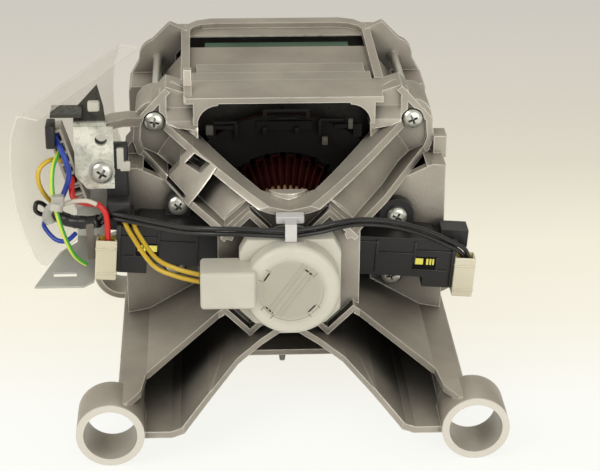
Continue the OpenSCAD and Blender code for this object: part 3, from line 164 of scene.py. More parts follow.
middle = Vector((0, -0.1, 0))
for name, place, size, watts in (
    ("window_light", (-1.0, -0.9, 0.9), 0.9, 10.5),
    ("fill_light", (0.5, -1.4, 0.3), 1.0, 8.8),
    ("top_light", (0.1, 0.5, 1.4), 0.9, 1.9),
):
    lamp_data = bpy.data.lights.new(name, "AREA")
    lamp_data.size = size
    lamp_data.energy = watts
    lamp = bpy.data.objects.new(name, lamp_data)
    bpy.context.scene.collection.objects.link(lamp)
    lamp.location = place
    lamp.rotation_euler = (middle - Vector(place)).to_track_quat("-Z", "Y").to_euler()


# The rear end shield is an aluminium die casting, blasted to a matt warm grey. Handling
# has rubbed the edges of its ribs bright, and its pockets are painted dark as shade. The
# rear faces of its lugs and their bores are machined, so they are brighter.
def shared_effect(name, inputs, outputs):
    """A node group for an effect of several finishes, with its two ends."""
    tree = bpy.data.node_groups.new(name, "ShaderNodeTree")
    for in_out, sockets in (("INPUT", inputs), ("OUTPUT", outputs)):
        for socket in sockets:
            tree.interface.new_socket(name=socket, in_out=in_out,
                                      socket_type="NodeSocketFloat")
    return tree, tree.nodes.new("NodeGroupInput").outputs, tree.nodes.new("NodeGroupOutput").inputs


edge_tree, given, result = shared_effect("rubbed_edges_and_edge_highlight", ("Width", "Breakup Scale"), ("Mask",))
bevel = placed(edge_tree, "ShaderNodeBevel", {"Radius": given["Width"]}, samples=6)
flat = placed(edge_tree, "ShaderNodeNewGeometry")
dot = placed(edge_tree, "ShaderNodeVectorMath", {
    0: bevel.outputs[0], 1: flat.outputs["True Normal"]}, operation="DOT_PRODUCT")
speckle = placed(edge_tree, "ShaderNodeTexNoise", {
    "Vector": own_place(edge_tree), "Scale": given["Breakup Scale"], "Detail": 4})
turned_away = spread_over(edge_tree, dot.outputs["Value"], 0.995, 0.86)
patchy = spread_over(edge_tree, speckle.outputs[0], 0.1, 0.5)
edge_tree.links.new(maths(edge_tree, "MULTIPLY", turned_away, patchy), result["Mask"])

grain_tree, given, result = shared_effect("surface_grain", ("Scale",), ("Height", "Cloud"))
fine = placed(grain_tree, "ShaderNodeTexNoise", {
    "Vector": own_place(grain_tree), "Scale": given["Scale"], "Detail": 3})
wide = placed(grain_tree, "ShaderNodeTexNoise", {
    "Vector": own_place(grain_tree), "Scale": 38, "Detail": 5})
grain_tree.links.new(fine.outputs[0], result["Height"])
grain_tree.links.new(wide.outputs[0], result["Cloud"])

# Painted shade: ambient occlusion darkens hollows and pockets towards near black, standing in for
# the shade that falls in them.
recess_shade_tree, given, result = shared_effect("painted_recess_shade", ("Reach", "Amount"), ("Mask",))
open_sky = placed(recess_shade_tree, "ShaderNodeAmbientOcclusion", {"Distance": given["Reach"]}, samples=6)
deep = spread_over(recess_shade_tree, open_sky.outputs["AO"], 0.66, 0.2)
recess_shade_tree.links.new(maths(recess_shade_tree, "MULTIPLY", deep, given["Amount"]), result["Mask"])


def mixed_colour(tree, share, colour, other):
    """A colour that gives way to another one by a share."""
    return placed(tree, "ShaderNodeMix", {0: share, 6: colour, 7: (*other, 1)},
                  data_type="RGBA").outputs[2]


def tinted(material, share, colour):
    """Lays another colour over a finish by a share."""
    tree = material.node_tree
    base = tree.nodes["Principled BSDF"].inputs["Base Color"]
    tree.links.new(mixed_colour(tree, share, base.links[0].from_socket, colour), base)


def roughened(tree, shader, height, depth):
    """Raises a height on the surface by a depth in metres."""
    bump = placed(tree, "ShaderNodeBump", {"Distance": depth, "Height": height})
    tree.links.new(bump.outputs[0], shader.inputs["Normal"])


def finish_with(name, dark, light, rough, metal, grain, depth, worn=None, width=0.0008,
                worn_rough=0.3, recess_shade=0.0, reach=0.02):
    """A finish whose colour drifts from dark to light, with grain, rubbed edges and painted shade
    in recesses.
    """
    material, tree, shader = new_material(name)
    texture = placed(tree, "ShaderNodeGroup", {"Scale": grain}, node_tree=grain_tree)
    colour = colour_ramp(tree, texture.outputs["Cloud"], (0.36, dark), (0.64, light)).outputs[0]
    roughened(tree, shader, texture.outputs["Height"], depth)
    shader.inputs["Metallic"].default_value = metal
    shade = spread_over(tree, texture.outputs["Height"], 0, 1, rough - 0.06, rough + 0.06)
    # Painted shade in recesses, laid on in a near-black colour.
    if recess_shade > 0:
        recess_shade_mask = placed(tree, "ShaderNodeGroup", {"Reach": reach, "Amount": recess_shade},
                      node_tree=recess_shade_tree)
        colour = mixed_colour(tree, recess_shade_mask.outputs["Mask"], colour, (0.018, 0.0155, 0.0135))
    if worn is not None:
        edge = placed(tree, "ShaderNodeGroup", {"Width": width, "Breakup Scale": 260},
                      node_tree=edge_tree)
        colour = mixed_colour(tree, edge.outputs["Mask"], colour, worn)
        shade = spread_over(tree, edge.outputs["Mask"], 0, 1, shade, worn_rough)
    tree.links.new(shade, shader.inputs["Roughness"])
    tree.links.new(colour, shader.inputs["Base Color"])
    return material


def less_shine(material, level):
    """Sets how strongly a plastic mirrors."""
    shader = material.node_tree.nodes["Principled BSDF"]
    shader.inputs["Specular IOR Level"].default_value = level


def dress(material, slot, *names):
    """Gives CAD pieces their finish."""
    for name in names:
        piece = cad[name]
        piece.data.materials.clear()
        piece.data.materials.append(material)


def soften(width, *names, segments=2):
    """Rounds the hard edges of CAD pieces, as moulds and tumbling leave them."""
    for name in names:
        piece = cad[name]
        merge = piece.modifiers.new("merge", "WELD")
        merge.merge_threshold = 2e-6
        edges = piece.modifiers.new("soft_edges", "BEVEL")
        edges.width = width
        edges.segments = segments
        edges.limit_method = "ANGLE"
        edges.angle_limit = math.radians(28)


cast = finish_with("blasted_casting", (0.335, 0.302, 0.25), (0.43, 0.39, 0.325), 0.46, 0.5,
                   1500, 0.00012, worn=(0.76, 0.72, 0.63), width=0.0009, recess_shade=0.91, reach=0.04)
tree = cast.node_tree
place = own_place(tree)
apart = placed(tree, "ShaderNodeSeparateXYZ", {0: place})
faced = spread_over(tree, apart.outputs["Y"], -0.2340, -0.2348)
mirrored = placed(tree, "ShaderNodeVectorMath", {0: place}, operation="ABSOLUTE")
from_bore = placed(tree, "ShaderNodeVectorMath", {
    0: mirrored.outputs[0], 1: (1, 0, 1), 2: (-0.075, 0, -0.05)}, operation="MULTIPLY_ADD")
distance = placed(tree, "ShaderNodeVectorMath", {0: from_bore.outputs[0]}, operation="LENGTH")
bored = spread_over(tree, distance.outputs["Value"], 0.0118, 0.0113, high=0.65)
below = maths(tree, "LESS_THAN", apart.outputs["Z"], 0)
machined = maths(tree, "MAXIMUM", faced, maths(tree, "MULTIPLY", bored, below))
tinted(cast, machined, (0.66, 0.62, 0.54))
dress(cast, "cast_alloy", "rear_end_shield")
soften(0.0005, "rear_end_shield")


# The front end shield is the same casting, a cup over the fan with louvres in its sides.
# The pulley's bearing sits in its nose.
dress(cast, "cast_alloy", "front_end_shield")
soften(0.0005, "front_end_shield")


# The stator is a pack of stamped sheets, dull from annealing. The sheet edges show
# as fine lines round the sides between the two shields.
sheet_pitch = 0.0007
annealed, tree, shader = new_material("stamped_sheets")
lines = placed(tree, "ShaderNodeTexWave", {
    "Vector": own_place(tree), "Scale": math.pi / sheet_pitch / 20, "Distortion": 0.4,
}, bands_direction="Y")
texture = placed(tree, "ShaderNodeGroup", {"Scale": 700}, node_tree=grain_tree)
blend = maths(tree, "MULTIPLY_ADD", lines.outputs["Fac"], 0.22, texture.outputs["Cloud"])
drift = colour_ramp(tree, blend, (0.3, (0.26, 0.228, 0.185)), (0.7, (0.38, 0.34, 0.28)))
# Painted shade: ambient occlusion darkens the stator's recessed faces to near black.
recess_shade_mask = placed(tree, "ShaderNodeGroup", {"Reach": 0.05, "Amount": 1.0}, node_tree=recess_shade_tree)
tree.links.new(mixed_colour(tree, recess_shade_mask.outputs["Mask"], drift.outputs[0], (0.012, 0.010, 0.009)),
               shader.inputs["Base Color"])
roughened(tree, shader, lines.outputs["Fac"], 0.0001)
shader.inputs["Metallic"].default_value = 0.55
shader.inputs["Roughness"].default_value = 0.48
dress(annealed, "laminations", "stator_core")


# The two field coils are wound on a former and pressed into the slots, one above and one
# below the rotor. Each loop of enamelled wire runs down a slot and arches over the ends.
def station(x, y, z):
    """A point given in millimetres, its station counted from the rear lug faces."""
    return Vector((x, y - 235, z)) / 1000


def smooth_line(points, steps):
    """The points of a smooth curve through the given ones."""
    line = []
    for i in range(len(points) - 1):
        p0, p1, p2 = points[max(i - 1, 0)], points[i], points[i + 1]
        p3 = points[min(i + 2, len(points) - 1)]
        for k in range(steps):
            t = k / steps
            line.append(0.5 * (2 * p1 + (p2 - p0) * t + (2 * p0 - 5 * p1 + 4 * p2 - p3) * t ** 2
                               + (3 * p1 - p0 - 3 * p2 + p3) * t ** 3))
    line.append(points[-1])
    return line


def add_tube(verts, faces, line, radii, sides, ring=False):
    """Adds a round tube along a line, each ring carried on from the one before it."""
    first, count = len(verts), len(line)
    side = None
    for i, point in enumerate(line):
        before = line[i - 1] if ring else line[max(i - 1, 0)]
        after = line[(i + 1) % count] if ring else line[min(i + 1, count - 1)]
        ahead = (after - before).normalized()
        side = ahead.orthogonal() if side is None else side - ahead * side.dot(ahead)
        side.normalize()
        across = ahead.cross(side)
        for k in range(sides):
            turn = 2 * math.pi * k / sides
            verts.append(point + radii[i] * (math.cos(turn) * side + math.sin(turn) * across))
    for i in range(count if ring else count - 1):
        here, there = first + i * sides, first + (i + 1) % count * sides
        for k in range(sides):
            other = (k + 1) % sides
            faces.append((here + k, here + other, there + other, there + k))
    if not ring:
        faces.append(tuple(first + k for k in range(sides - 1, -1, -1)))
        faces.append(tuple(first + (count - 1) * sides + k for k in range(sides)))


def mounted(piece, slot, body, *replaced):
    """Sets a piece on its body, in place of the CAD nodes that it stands for."""
    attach(piece, body)
    if replaced:
        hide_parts(*replaced)
    return piece


def linked(name, verts, faces):
    """A new object from points and faces."""
    mesh = bpy.data.meshes.new(name)
    mesh.from_pydata(verts, [], faces)
    piece = bpy.data.objects.new(name, mesh)
    bpy.context.scene.collection.objects.link(piece)
    return piece


def from_mesh(name, verts, faces, material, slot, body, *replaced):
    """A new piece from its points and faces, smooth, dressed and riding on a body."""
    piece = linked(name, verts, faces)
    piece.data.polygons.foreach_set("use_smooth", [True] * len(faces))
    piece.data.materials.append(material)
    return mounted(piece, slot, body, *replaced)


enamelled = finish_with("enamelled_wire", (0.13, 0.032, 0.014), (0.26, 0.085, 0.032), 0.32, 0.4,
                        900, 0.0001, recess_shade=0.9, reach=0.02)
coil_wire = 0.00078
coil_layers, coil_rows = 6, 8
inner_layer, layer_pitch, row_pitch = 38.5, 1.82, 1.64
rear_arch, front_arch, arch_steps = 100.2, 187.8, 20
for name, replaced, sign, seed in (
    ("upper_field_winding", "upper_field_coil", 1, 3),
    ("lower_field_winding", "lower_field_coil", -1, 4),
):
    wobble = random.Random(seed)
    verts, faces = [], []
    for layer in range(coil_layers):
        for row in range(coil_rows):
            radius = inner_layer + layer_pitch * layer + wobble.uniform(-0.12, 0.12)
            out = row_pitch * row
            low = math.radians(7 + 5.2 * row)
            turns = [low + (math.pi - 2 * low) * i / arch_steps for i in range(arch_steps + 1)]
            loop = []
            for y, arch in ((rear_arch + out, turns), (front_arch - out, turns[::-1])):
                for turn in arch:
                    loop.append(station(radius * math.cos(turn), y + wobble.uniform(-0.1, 0.1),
                                        sign * radius * math.sin(turn)))
            add_tube(verts, faces, loop, [coil_wire] * len(loop), 6, ring=True)
    from_mesh(name, verts, faces, enamelled, "copper_wire", "housing", replaced)


# Black moulded frames close both faces of the stator and keep the windings off the iron.
# The rear one has a catch at the top and small hooks that guide the wire ends. Folded
# ends of slot paper stand out of the stator beside them.
def pick(piece):
    """Makes a piece the only one that operators act on."""
    bpy.ops.object.select_all(action="DESELECT")
    piece.select_set(True)
    bpy.context.view_layer.objects.active = piece


def moved_home(piece):
    """Puts a finished piece's place into its mesh."""
    pick(piece)
    bpy.ops.object.transform_apply(location=True, rotation=True, scale=True)
    return piece


def rounded(piece, width, segments):
    """Rounds all edges of a mesh."""
    pick(piece)
    bpy.ops.object.mode_set(mode="EDIT")
    bpy.ops.mesh.select_all(action="SELECT")
    bpy.ops.mesh.bevel(offset=width, segments=segments, affect="EDGES")
    bpy.ops.object.mode_set(mode="OBJECT")
    return piece


def joined(name, pieces):
    """Several meshes as one piece."""
    bpy.ops.object.select_all(action="DESELECT")
    for piece in pieces:
        piece.select_set(True)
    bpy.context.view_layer.objects.active = pieces[0]
    if len(pieces) > 1:
        bpy.ops.object.join()
    pieces[0].name = pieces[0].data.name = name
    return pieces[0]


def moulded_blocks(name, round_off, segments, *corners, tilt=0.0):
    """Blocks between pairs of corners as one piece, edges rounded, turned about the shaft."""
    made = []
    for low, high in corners:
        low, high = station(*low), station(*high)
        bpy.ops.object.select_all(action="DESELECT")
        bpy.ops.mesh.primitive_cube_add(size=1, location=(low + high) / 2, scale=high - low)
        block = rounded(moved_home(bpy.context.object), round_off / 1000, segments)
        block.rotation_euler = (0, tilt, 0)
        made.append(moved_home(block))
    return joined(name, made)


def fitted(piece, material, slot, body, *replaced, angle=35):
    """Smooths, dresses and mounts a finished piece."""
    pick(piece)
    bpy.ops.object.shade_smooth_by_angle(angle=math.radians(angle))
    piece.data.materials.clear()
    piece.data.materials.append(material)
    return mounted(piece, slot, body, *replaced)


# The frames' black is painted darker than the other black mouldings, as the shade inside the
# stator. The winding hooks and the holders' contact windows use it too.
frame_black_painted_shade = finish_with("frame_moulding", (0.0032, 0.0028, 0.0026), (0.0055, 0.005, 0.0045),
                          0.6, 0.0, 1400, 0.00005, worn=(0.016, 0.014, 0.013), width=0.0004,
                          worn_rough=0.5)
less_shine(frame_black_painted_shade, 0.12)
dress(frame_black_painted_shade, "black_plastic", "rear_coil_frame", "front_coil_frame")
soften(0.0003, "rear_coil_frame", "front_coil_frame", segments=1)
hooks = moulded_blocks(
    "winding_hooks", 0.35, 2,
    ((-9.6, 92.6, 54.6), (10.8, 94.4, 55.8)), ((-9.6, 92.6, 50.9), (-7.8, 94.4, 55.2)),
    ((9.0, 92.6, 50.9), (10.8, 94.4, 55.2)), ((-3.4, 92.4, 51.4), (5.2, 94.4, 52.6)),
    ((-9.6, 92.8, 43.2), (-7.9, 95.4, 47.8)), ((4.4, 92.8, 43.8), (6.1, 95.4, 47.6)),
    ((-21.8, 94, 41), (-20.4, 96.6, 49)), ((14.6, 94, 43), (16, 96.6, 50)),
    ((-31, 94.6, 48.6), (-20.6, 96.6, 50)), ((15, 94.6, 49.4), (25.6, 96.6, 50.8)))
fitted(hooks, frame_black_painted_shade, "black_plastic", "housing")
liners = moulded_blocks(
    "slot_liner_ends", 0.3, 2,
    ((-34.2, 93.4, 44.2), (-31, 95.6, 48.4)), ((27.6, 93.4, 46.4), (29.6, 95.6, 50.8)),
    ((16.3, 93.4, 39), (18.8, 95.8, 42.6)))
paper_card = finish_with("slot_paper", (0.036, 0.031, 0.024), (0.06, 0.054, 0.038), 0.7, 0.0,
                         900, 0.00008, recess_shade=0.5, reach=0.004)
fitted(liners, paper_card, "white_plastic", "housing")


# Tie bolts hold the pack between the shields. They are zinc plated, with domed heads and
# deep cross recesses, and the smaller screws of the brush gear are of the same make.
def combined(piece, other, operation):
    """Cuts a mesh out of a piece, or melts it in, and uses it up."""
    taking = piece.modifiers.new("combined", "BOOLEAN")
    taking.operation = operation
    taking.solver = "EXACT"
    taking.object = other
    pick(piece)
    bpy.ops.object.modifier_apply(modifier=taking.name)
    bpy.data.objects.remove(other)


def opened_at(piece, wanted):
    """Opens a mesh in edit mode with only the faces selected whose normal is wanted."""
    pick(piece)
    bpy.ops.object.mode_set(mode="EDIT")
    bpy.ops.mesh.select_all(action="DESELECT")
    bpy.ops.object.mode_set(mode="OBJECT")
    for face in piece.data.polygons:
        face.select = wanted(face.normal)
    bpy.ops.object.mode_set(mode="EDIT")


def cross_head(radius, height):
    """A domed screw head with a cross recess, its seat at the origin and its top along +Z."""
    bpy.ops.object.select_all(action="DESELECT")
    bpy.ops.mesh.primitive_cylinder_add(vertices=40, radius=radius, depth=height * 0.6,
                                        location=(0, 0, height * 0.3))
    head = moved_home(bpy.context.object)
    opened_at(head, lambda normal: normal.z > 0.9)
    for step, rise in ((0.12, 0.17), (0.2, 0.13), (0.25, 0.07), (0.2, 0.03)):
        bpy.ops.mesh.inset(thickness=step * radius, depth=rise * height)
    bpy.ops.object.mode_set(mode="OBJECT")
    for turn in (0, math.pi / 2):
        bpy.ops.object.select_all(action="DESELECT")
        bpy.ops.mesh.primitive_cube_add(size=1, location=(0, 0, height * 0.75),
                                        scale=(radius * 1.25, radius * 0.27, height * 0.9))
        wing = moved_home(bpy.context.object)
        opened_at(wing, lambda normal: normal.z < -0.9)
        bpy.ops.transform.resize(value=(0.4, 0.6, 1))
        bpy.ops.object.mode_set(mode="OBJECT")
        wing.rotation_euler = (0, 0, turn + math.radians(20))
        combined(head, moved_home(wing), "DIFFERENCE")
    return head


def middles_of(name):
    """The middle of each of a node's solids, with one in each quarter about the shaft."""
    quarters = {}
    for vertex in cad[name].data.vertices:
        spot = vertex.co
        quarters.setdefault((spot.x > 0, spot.z > 0), []).append(spot)
    return [[(min(s[k] for s in spots) + max(s[k] for s in spots)) / 2 for k in range(3)]
            for _, spots in sorted(quarters.items())]


def screws_for(name, node, radius, height, shank, turn, step):
    """A screw for each of a node's solids, its head towards the tacho end."""
    low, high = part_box(node)
    seat, length = low[1] + height, high[1] - low[1] - height
    head = cross_head(radius, height)
    made = []
    for i, (x, _, z) in enumerate(middles_of(node)):
        top = head.copy()
        top.data = head.data.copy()
        bpy.context.scene.collection.objects.link(top)
        top.rotation_euler = (math.pi / 2, turn + step * i, 0)
        top.location = (x, seat, z)
        made.append(moved_home(top))
        bpy.ops.object.select_all(action="DESELECT")
        bpy.ops.mesh.primitive_cylinder_add(
            vertices=24, radius=shank, depth=length, rotation=(math.pi / 2, 0, 0),
            location=(x, seat + length / 2, z))
        made.append(rounded(moved_home(bpy.context.object), shank * 0.2, 1))
    bpy.data.objects.remove(head)
    fitted(joined(name, made), zinc, "zinc_steel", "housing", node)


zinc = finish_with("zinc_plate", (0.50, 0.50, 0.44), (0.66, 0.655, 0.58), 0.3, 0.8, 900, 0.00005,
                   worn=(0.78, 0.77, 0.70), width=0.0003, recess_shade=0.92, reach=0.0022)
screws_for("shield_tie_bolts", "tie_bolts", radius=0.0043, height=0.0034, shank=0.002,
           turn=0, step=0.5)


# A green card strip lies over the front windings where the rail leaves them bare.
# It is pressed insulation board, held down by the shield.
green_card = finish_with("green_card", (0.035, 0.075, 0.046), (0.065, 0.12, 0.075), 0.6, 0.0,
                         600, 0.00006)
dress(green_card, "green_sheet", "insulation_strip")


# The armature is a second pack of sheets on a ground shaft, with slots for its coils.
# It turns in two ball bearings, pressed on the shaft and seated in the shields.
dress(annealed, "laminations", "armature_core")
turned_steel = finish_with("turned_steel", (0.42, 0.42, 0.41), (0.55, 0.55, 0.54), 0.3, 1.0, 500,
                           0.00004, worn=(0.7, 0.7, 0.7), width=0.0003)
dress(turned_steel, "shaft_steel", "rotor_shaft")
ground = finish_with("ground_steel", (0.5, 0.5, 0.5), (0.6, 0.6, 0.6), 0.22, 1.0, 1500, 0.00002)
for end in ("rear", "front"):
    rings = [end + "_bearing_outer_ring", end + "_bearing_inner_ring"]
    dress(ground, "bearing_steel", *rings, end + "_bearing_balls", end + "_bearing_cage")
    soften(0.0003, *rings)
dress(ground, "spring_steel", "preload_washer")


# The armature's coils cross over each other behind the slots, and are soaked in dark red
# varnish that sets hard and glossy. One bundle lies at each end of the core.
varnish = finish_with("red_varnish", (0.017, 0.005, 0.0042), (0.064, 0.012, 0.0085), 0.24, 0.0,
                      900, 0.0002)
less_shine(varnish, 0.25)
low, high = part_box("armature_coils")
core_low, core_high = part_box("armature_core")
slot_count, crossing = 24, math.radians(118)
bundle_wire, layer_drop, bundle_steps = 0.00125, 0.0011, 14
verts, faces = [], []
for near, far, inner, outer, throw in (
    (core_low[1], low[1], 0.0125, 0.0235, 1), (core_high[1], high[1], 0.0135, 0.0248, -1),
):
    for i in range(slot_count):
        for layer, direction in enumerate((-throw, throw)):
            line = []
            for k in range(bundle_steps + 1):
                s = k / bundle_steps
                bow = math.sin(math.pi * s)
                radius = outer - (outer - inner) * bow ** 0.7 - layer_drop * layer * (1 - bow)
                y = near + (far - near) * (0.16 + (0.66 - 0.1 * layer) * bow ** 0.6)
                turn = 2 * math.pi * i / slot_count + crossing * direction * s
                line.append(Vector((radius * math.cos(turn), y, radius * math.sin(turn))))
            add_tube(verts, faces, line, [bundle_wire] * len(line), 6)
from_mesh("armature_bundles", verts, faces, varnish, "varnished_wire", "rotor")
dress(varnish, "varnished_wire", "armature_coils", "armature_winding")


# The commutator is a ring of copper bars on a moulded hub. Each bar ends in a hook that
# grips two wire ends, and carbon brushes have browned the track.
copper = finish_with("turned_copper", (0.30, 0.16, 0.09), (0.46, 0.29, 0.17), 0.34, 0.9, 400,
                     0.00003, worn=(0.72, 0.52, 0.33), width=0.0003, recess_shade=0.85, reach=0.002)
dress(copper, "copper_bars", "commutator_bars")
soften(0.0002, "commutator_bars", segments=1)
hub_black = finish_with("hub_moulding", (0.015, 0.013, 0.012), (0.022, 0.02, 0.018), 0.5, 0.0,
                        900, 0.00005)
dress(hub_black, "black_plastic", "commutator_hub")


# Each hook's two wire ends run up into the windings, painted with tan varnish where they
# leave the copper. They thicken towards their middle, where the varnish gathers.
tan_wire = finish_with("tan_varnish", (0.26, 0.13, 0.06), (0.42, 0.25, 0.13), 0.4, 0.1, 900,
                       0.00006)
wire_end, swell = 0.0005, 0.00035
verts, faces = [], []
for i in range(2 * slot_count):
    turn = math.pi * i / slot_count
    out = Vector((math.cos(turn), 0, math.sin(turn)))
    line = smooth_line([out * (radius / 1000) + station(0, y, 0) for radius, y in (
        (18.6, 89.8), (19.9, 90.6), (20.4, 91.7), (20, 93.6))], 3)
    radii = [wire_end + swell * math.sin(0.35 * k) for k in range(len(line))]
    add_tube(verts, faces, line, radii, 8)
from_mesh("hook_wires", verts, faces, tan_wire, "varnished_wire", "rotor")


# The fan draws air through the motor. It is moulded in black nylon, with straight blades
# on a disc, and pressed on the shaft inside the front shield.
black = finish_with("black_moulding", (0.012, 0.0115, 0.011), (0.020, 0.019, 0.018), 0.38, 0.0,
                    1400, 0.00005, worn=(0.06, 0.056, 0.052), width=0.0004, worn_rough=0.33,
                    recess_shade=0.5, reach=0.006)
less_shine(black, 0.36)
dress(black, "black_plastic", "cooling_fan")
soften(0.0002, "cooling_fan", segments=1)


# The ribbed pulley drives the drum's belt. It is turned from steel bar and pressed on
# the end of the shaft, and the belt keeps its grooves bright.
dress(turned_steel, "shaft_steel", "drive_pulley")
soften(0.00015, "drive_pulley", segments=1)


# The tacho tells the speed: a ring magnet on the shaft turns inside a small coil.
# Both are hidden under the cap, which snaps on the hub.
magnet = finish_with("sintered_magnet", (0.03, 0.03, 0.032), (0.05, 0.05, 0.05), 0.6, 0.0, 900,
                     0.0001)
dress(magnet, "magnet", "tacho_magnet")
dress(enamelled, "copper_wire", "tacho_coil")


# The tacho cap is moulded in natural nylon, which lets a little light in. Its drum has a
# sunken face with four snap windows and a thin double ridge, and a box for the two leads.
# The face is thin, so it looks greyer than the rim.
def soft_plastic(name, dark, light, rough, glow, recess_shade=0.0):
    """Pale moulding that lets a little light in."""
    material = finish_with(name, dark, light, rough, 0.0, 900, 0.00003, recess_shade=recess_shade, reach=0.003)
    shader = material.node_tree.nodes["Principled BSDF"]
    shader.inputs["Subsurface Weight"].default_value = glow
    shader.inputs["Subsurface Radius"].default_value = (0.004, 0.003, 0.002)
    shader.inputs["Subsurface Scale"].default_value = 0.6
    return material


def drum(name, radius, y0, y1, round_off, x=0.0, z=0.0, vertices=72):
    """A round boss along the shaft, its front rim rounded."""
    bpy.ops.object.select_all(action="DESELECT")
    bpy.ops.mesh.primitive_cylinder_add(
        vertices=vertices, radius=radius / 1000, depth=(y1 - y0) / 1000,
        rotation=(math.pi / 2, 0, 0), location=station(x, (y0 + y1) / 2, z))
    piece = moved_home(bpy.context.object)
    piece.name = piece.data.name = name
    if round_off:
        front = station(0, y0, 0).y
        bpy.context.tool_settings.mesh_select_mode = (False, True, False)
        opened_at(piece, lambda normal: False)
        bpy.ops.object.mode_set(mode="OBJECT")
        for edge in piece.data.edges:
            ends = [piece.data.vertices[i].co.y for i in edge.vertices]
            edge.select = all(abs(y - front) < 1e-6 for y in ends)
        bpy.ops.object.mode_set(mode="EDIT")
        bpy.ops.mesh.bevel(offset=round_off / 1000, segments=6, affect="EDGES")
        bpy.context.tool_settings.mesh_select_mode = (True, False, False)
        bpy.ops.object.mode_set(mode="OBJECT")
    return piece


nylon = soft_plastic("natural_nylon", (0.44, 0.42, 0.35), (0.51, 0.49, 0.41), 0.42, 0.25, recess_shade=0.35)
cap_nylon = soft_plastic("cap_nylon", (0.50, 0.48, 0.40), (0.57, 0.55, 0.46), 0.42, 0.25,
                         recess_shade=0.35)
tree = cap_nylon.node_tree
off_axis = placed(tree, "ShaderNodeVectorMath", {0: own_place(tree), 1: (1, 0, 1)},
                  operation="MULTIPLY")
distance = placed(tree, "ShaderNodeVectorMath", {0: off_axis.outputs[0]}, operation="LENGTH")
tinted(cap_nylon, spread_over(tree, distance.outputs["Value"], 0.0158, 0.0118),
       (0.40, 0.375, 0.30))
cap_centre, cap_front = 0.5, 29
cap = drum("tacho_cover", 20.1, cap_front, 39, 2.4, x=cap_centre)
combined(cap, moulded_blocks("lead_box", 1.7, 4, ((-37.5, 26, -6.8), (-14.5, 42.5, 10))), "UNION")
outline = [(-14.8, -19.5), (14.8, -19.5), (21.2, -13), (21.2, 13.5), (18, 19.5), (-18, 19.5),
           (-21.2, 13.5), (-21.2, -13)]
count = len(outline)
verts = [station(x, y, z) for y in (38, 46) for x, z in outline]
faces = [tuple(range(count)), tuple(range(2 * count - 1, count - 1, -1))]
faces += [(i, i + count, (i + 1) % count + count, (i + 1) % count) for i in range(count)]
flange = linked("cap_flange", verts, faces)
opened_at(flange, lambda normal: True)
bpy.ops.mesh.normals_make_consistent(inside=False)
bpy.ops.object.mode_set(mode="OBJECT")
combined(cap, rounded(flange, 0.0008, 2), "UNION")
combined(cap, drum("inside", 18, cap_front + 2, 48, 0, x=cap_centre), "DIFFERENCE")
combined(cap, drum("sunken_face", 13.6, cap_front - 2, cap_front + 0.45, 0), "DIFFERENCE")
windows = []
for turn, reach in ((147, 11.6), (48, 10.6), (224, 12.2), (316, 11.6)):
    windows.append(moulded_blocks(
        "window", 0.05, 1, ((-2.1, 27, reach), (2.1, 32, reach + 0.8)),
        ((-2.9, 27, reach), (-2.6, 29.8, reach + 2.6)),
        ((2.6, 27, reach), (2.9, 29.8, reach + 2.6)), tilt=math.radians(90 - turn)))
combined(cap, joined("windows", windows), "DIFFERENCE")
ridges = moulded_blocks(
    "cap_ridges", 0.12, 1,
    *[((x - 0.22, 29.2, -13), (x + 0.22, 29.9, 14.5)) for x in (-3.0, -1.2, 1.2, 3.0)],
    tilt=math.radians(35))
fitted(ridges, cap_nylon, "white_plastic", "housing")
for z in (1.5, 4.7):
    entry = moulded_blocks("entry", 0.5, 2, ((-38.5, 34.7, z - 1.3), (-30, 37.3, z + 1.3)))
    combined(cap, entry, "DIFFERENCE")
fitted(cap, cap_nylon, "white_plastic", "housing", "tacho_cap", angle=40)


# A brush holder on each side carries a brass tube with a spring and a carbon brush. It is
# moulded in black, with screw lugs, ribs and a window where the brass shows.
dress(black, "black_plastic", "brush_holder_left", "brush_holder_right")
soften(0.0006, "brush_holder_left", "brush_holder_right")
brass = finish_with("stamped_brass", (0.66, 0.50, 0.08), (0.85, 0.68, 0.14), 0.28, 0.55, 700,
                    0.00003)
dress(brass, "brass_strip", "brush_tube_left", "brush_tube_right", "brush_terminals")
lemon_brass = finish_with("bright_brass", (0.74, 0.68, 0.10), (0.88, 0.82, 0.16), 0.3, 0.3, 700,
                          0.00003)
brush_tilt = math.radians(4)
rib_corners = (
    ((38.3, 67.2, -7.4), (39.3, 68.6, 7.6)), ((54.9, 67.2, -2.2), (55.9, 68.6, 7.6)),
    ((39, 67.3, 1.6), (55, 68.4, 2.3)), ((56, 67.3, 3.2), (71.8, 68.4, 3.9)),
    ((71.6, 66.6, -12.6), (73.6, 81, 9)), ((24.5, 67.3, 6.2), (38.5, 68.5, 7)),
    ((54.9, 67.3, -6), (70, 68.5, -5.2)), ((65, 67.3, -5.4), (65.8, 68.5, 0.8)))
finger_corners = [((x0, 67.4, -2.9), (x1, 68.2, 0))
                  for x0, x1 in ((55.9, 59.4), (60.7, 61.7), (62.1, 63.0), (63.4, 64.2))]
window_corners = [((55, 67.6, -5.2), (65, 68.4, 0.5))]
for side, sign in (("right", 1), ("left", -1)):
    for name, corners, round_off, segments, material, slot in (
        ("holder_ribs_", rib_corners, 0.25, 2, black, "black_plastic"),
        ("contact_fingers_", finger_corners, 0.12, 1, lemon_brass, "brass_strip"),
        ("contact_window_", window_corners, 0.1, 1, frame_black_painted_shade, "black_plastic"),
    ):
        pairs = []
        for low, high in corners:
            near, far = sorted((sign * low[0], sign * high[0]))
            pairs.append(((near, *low[1:]), (far, *high[1:])))
        detail = moulded_blocks(name + side, round_off, segments, *pairs, tilt=brush_tilt)
        fitted(detail, material, slot, "housing")
spring_inner, spring_outer, spring_end = 0.04675, 0.0609, 0.0612
spring_radius, spring_wire, spring_turns, turn_steps = 0.0025, 0.00028, 8, 20
brush_line = Vector((0, -0.158, 0))
closed_pitch, open_span = 0.00062, spring_turns - 2
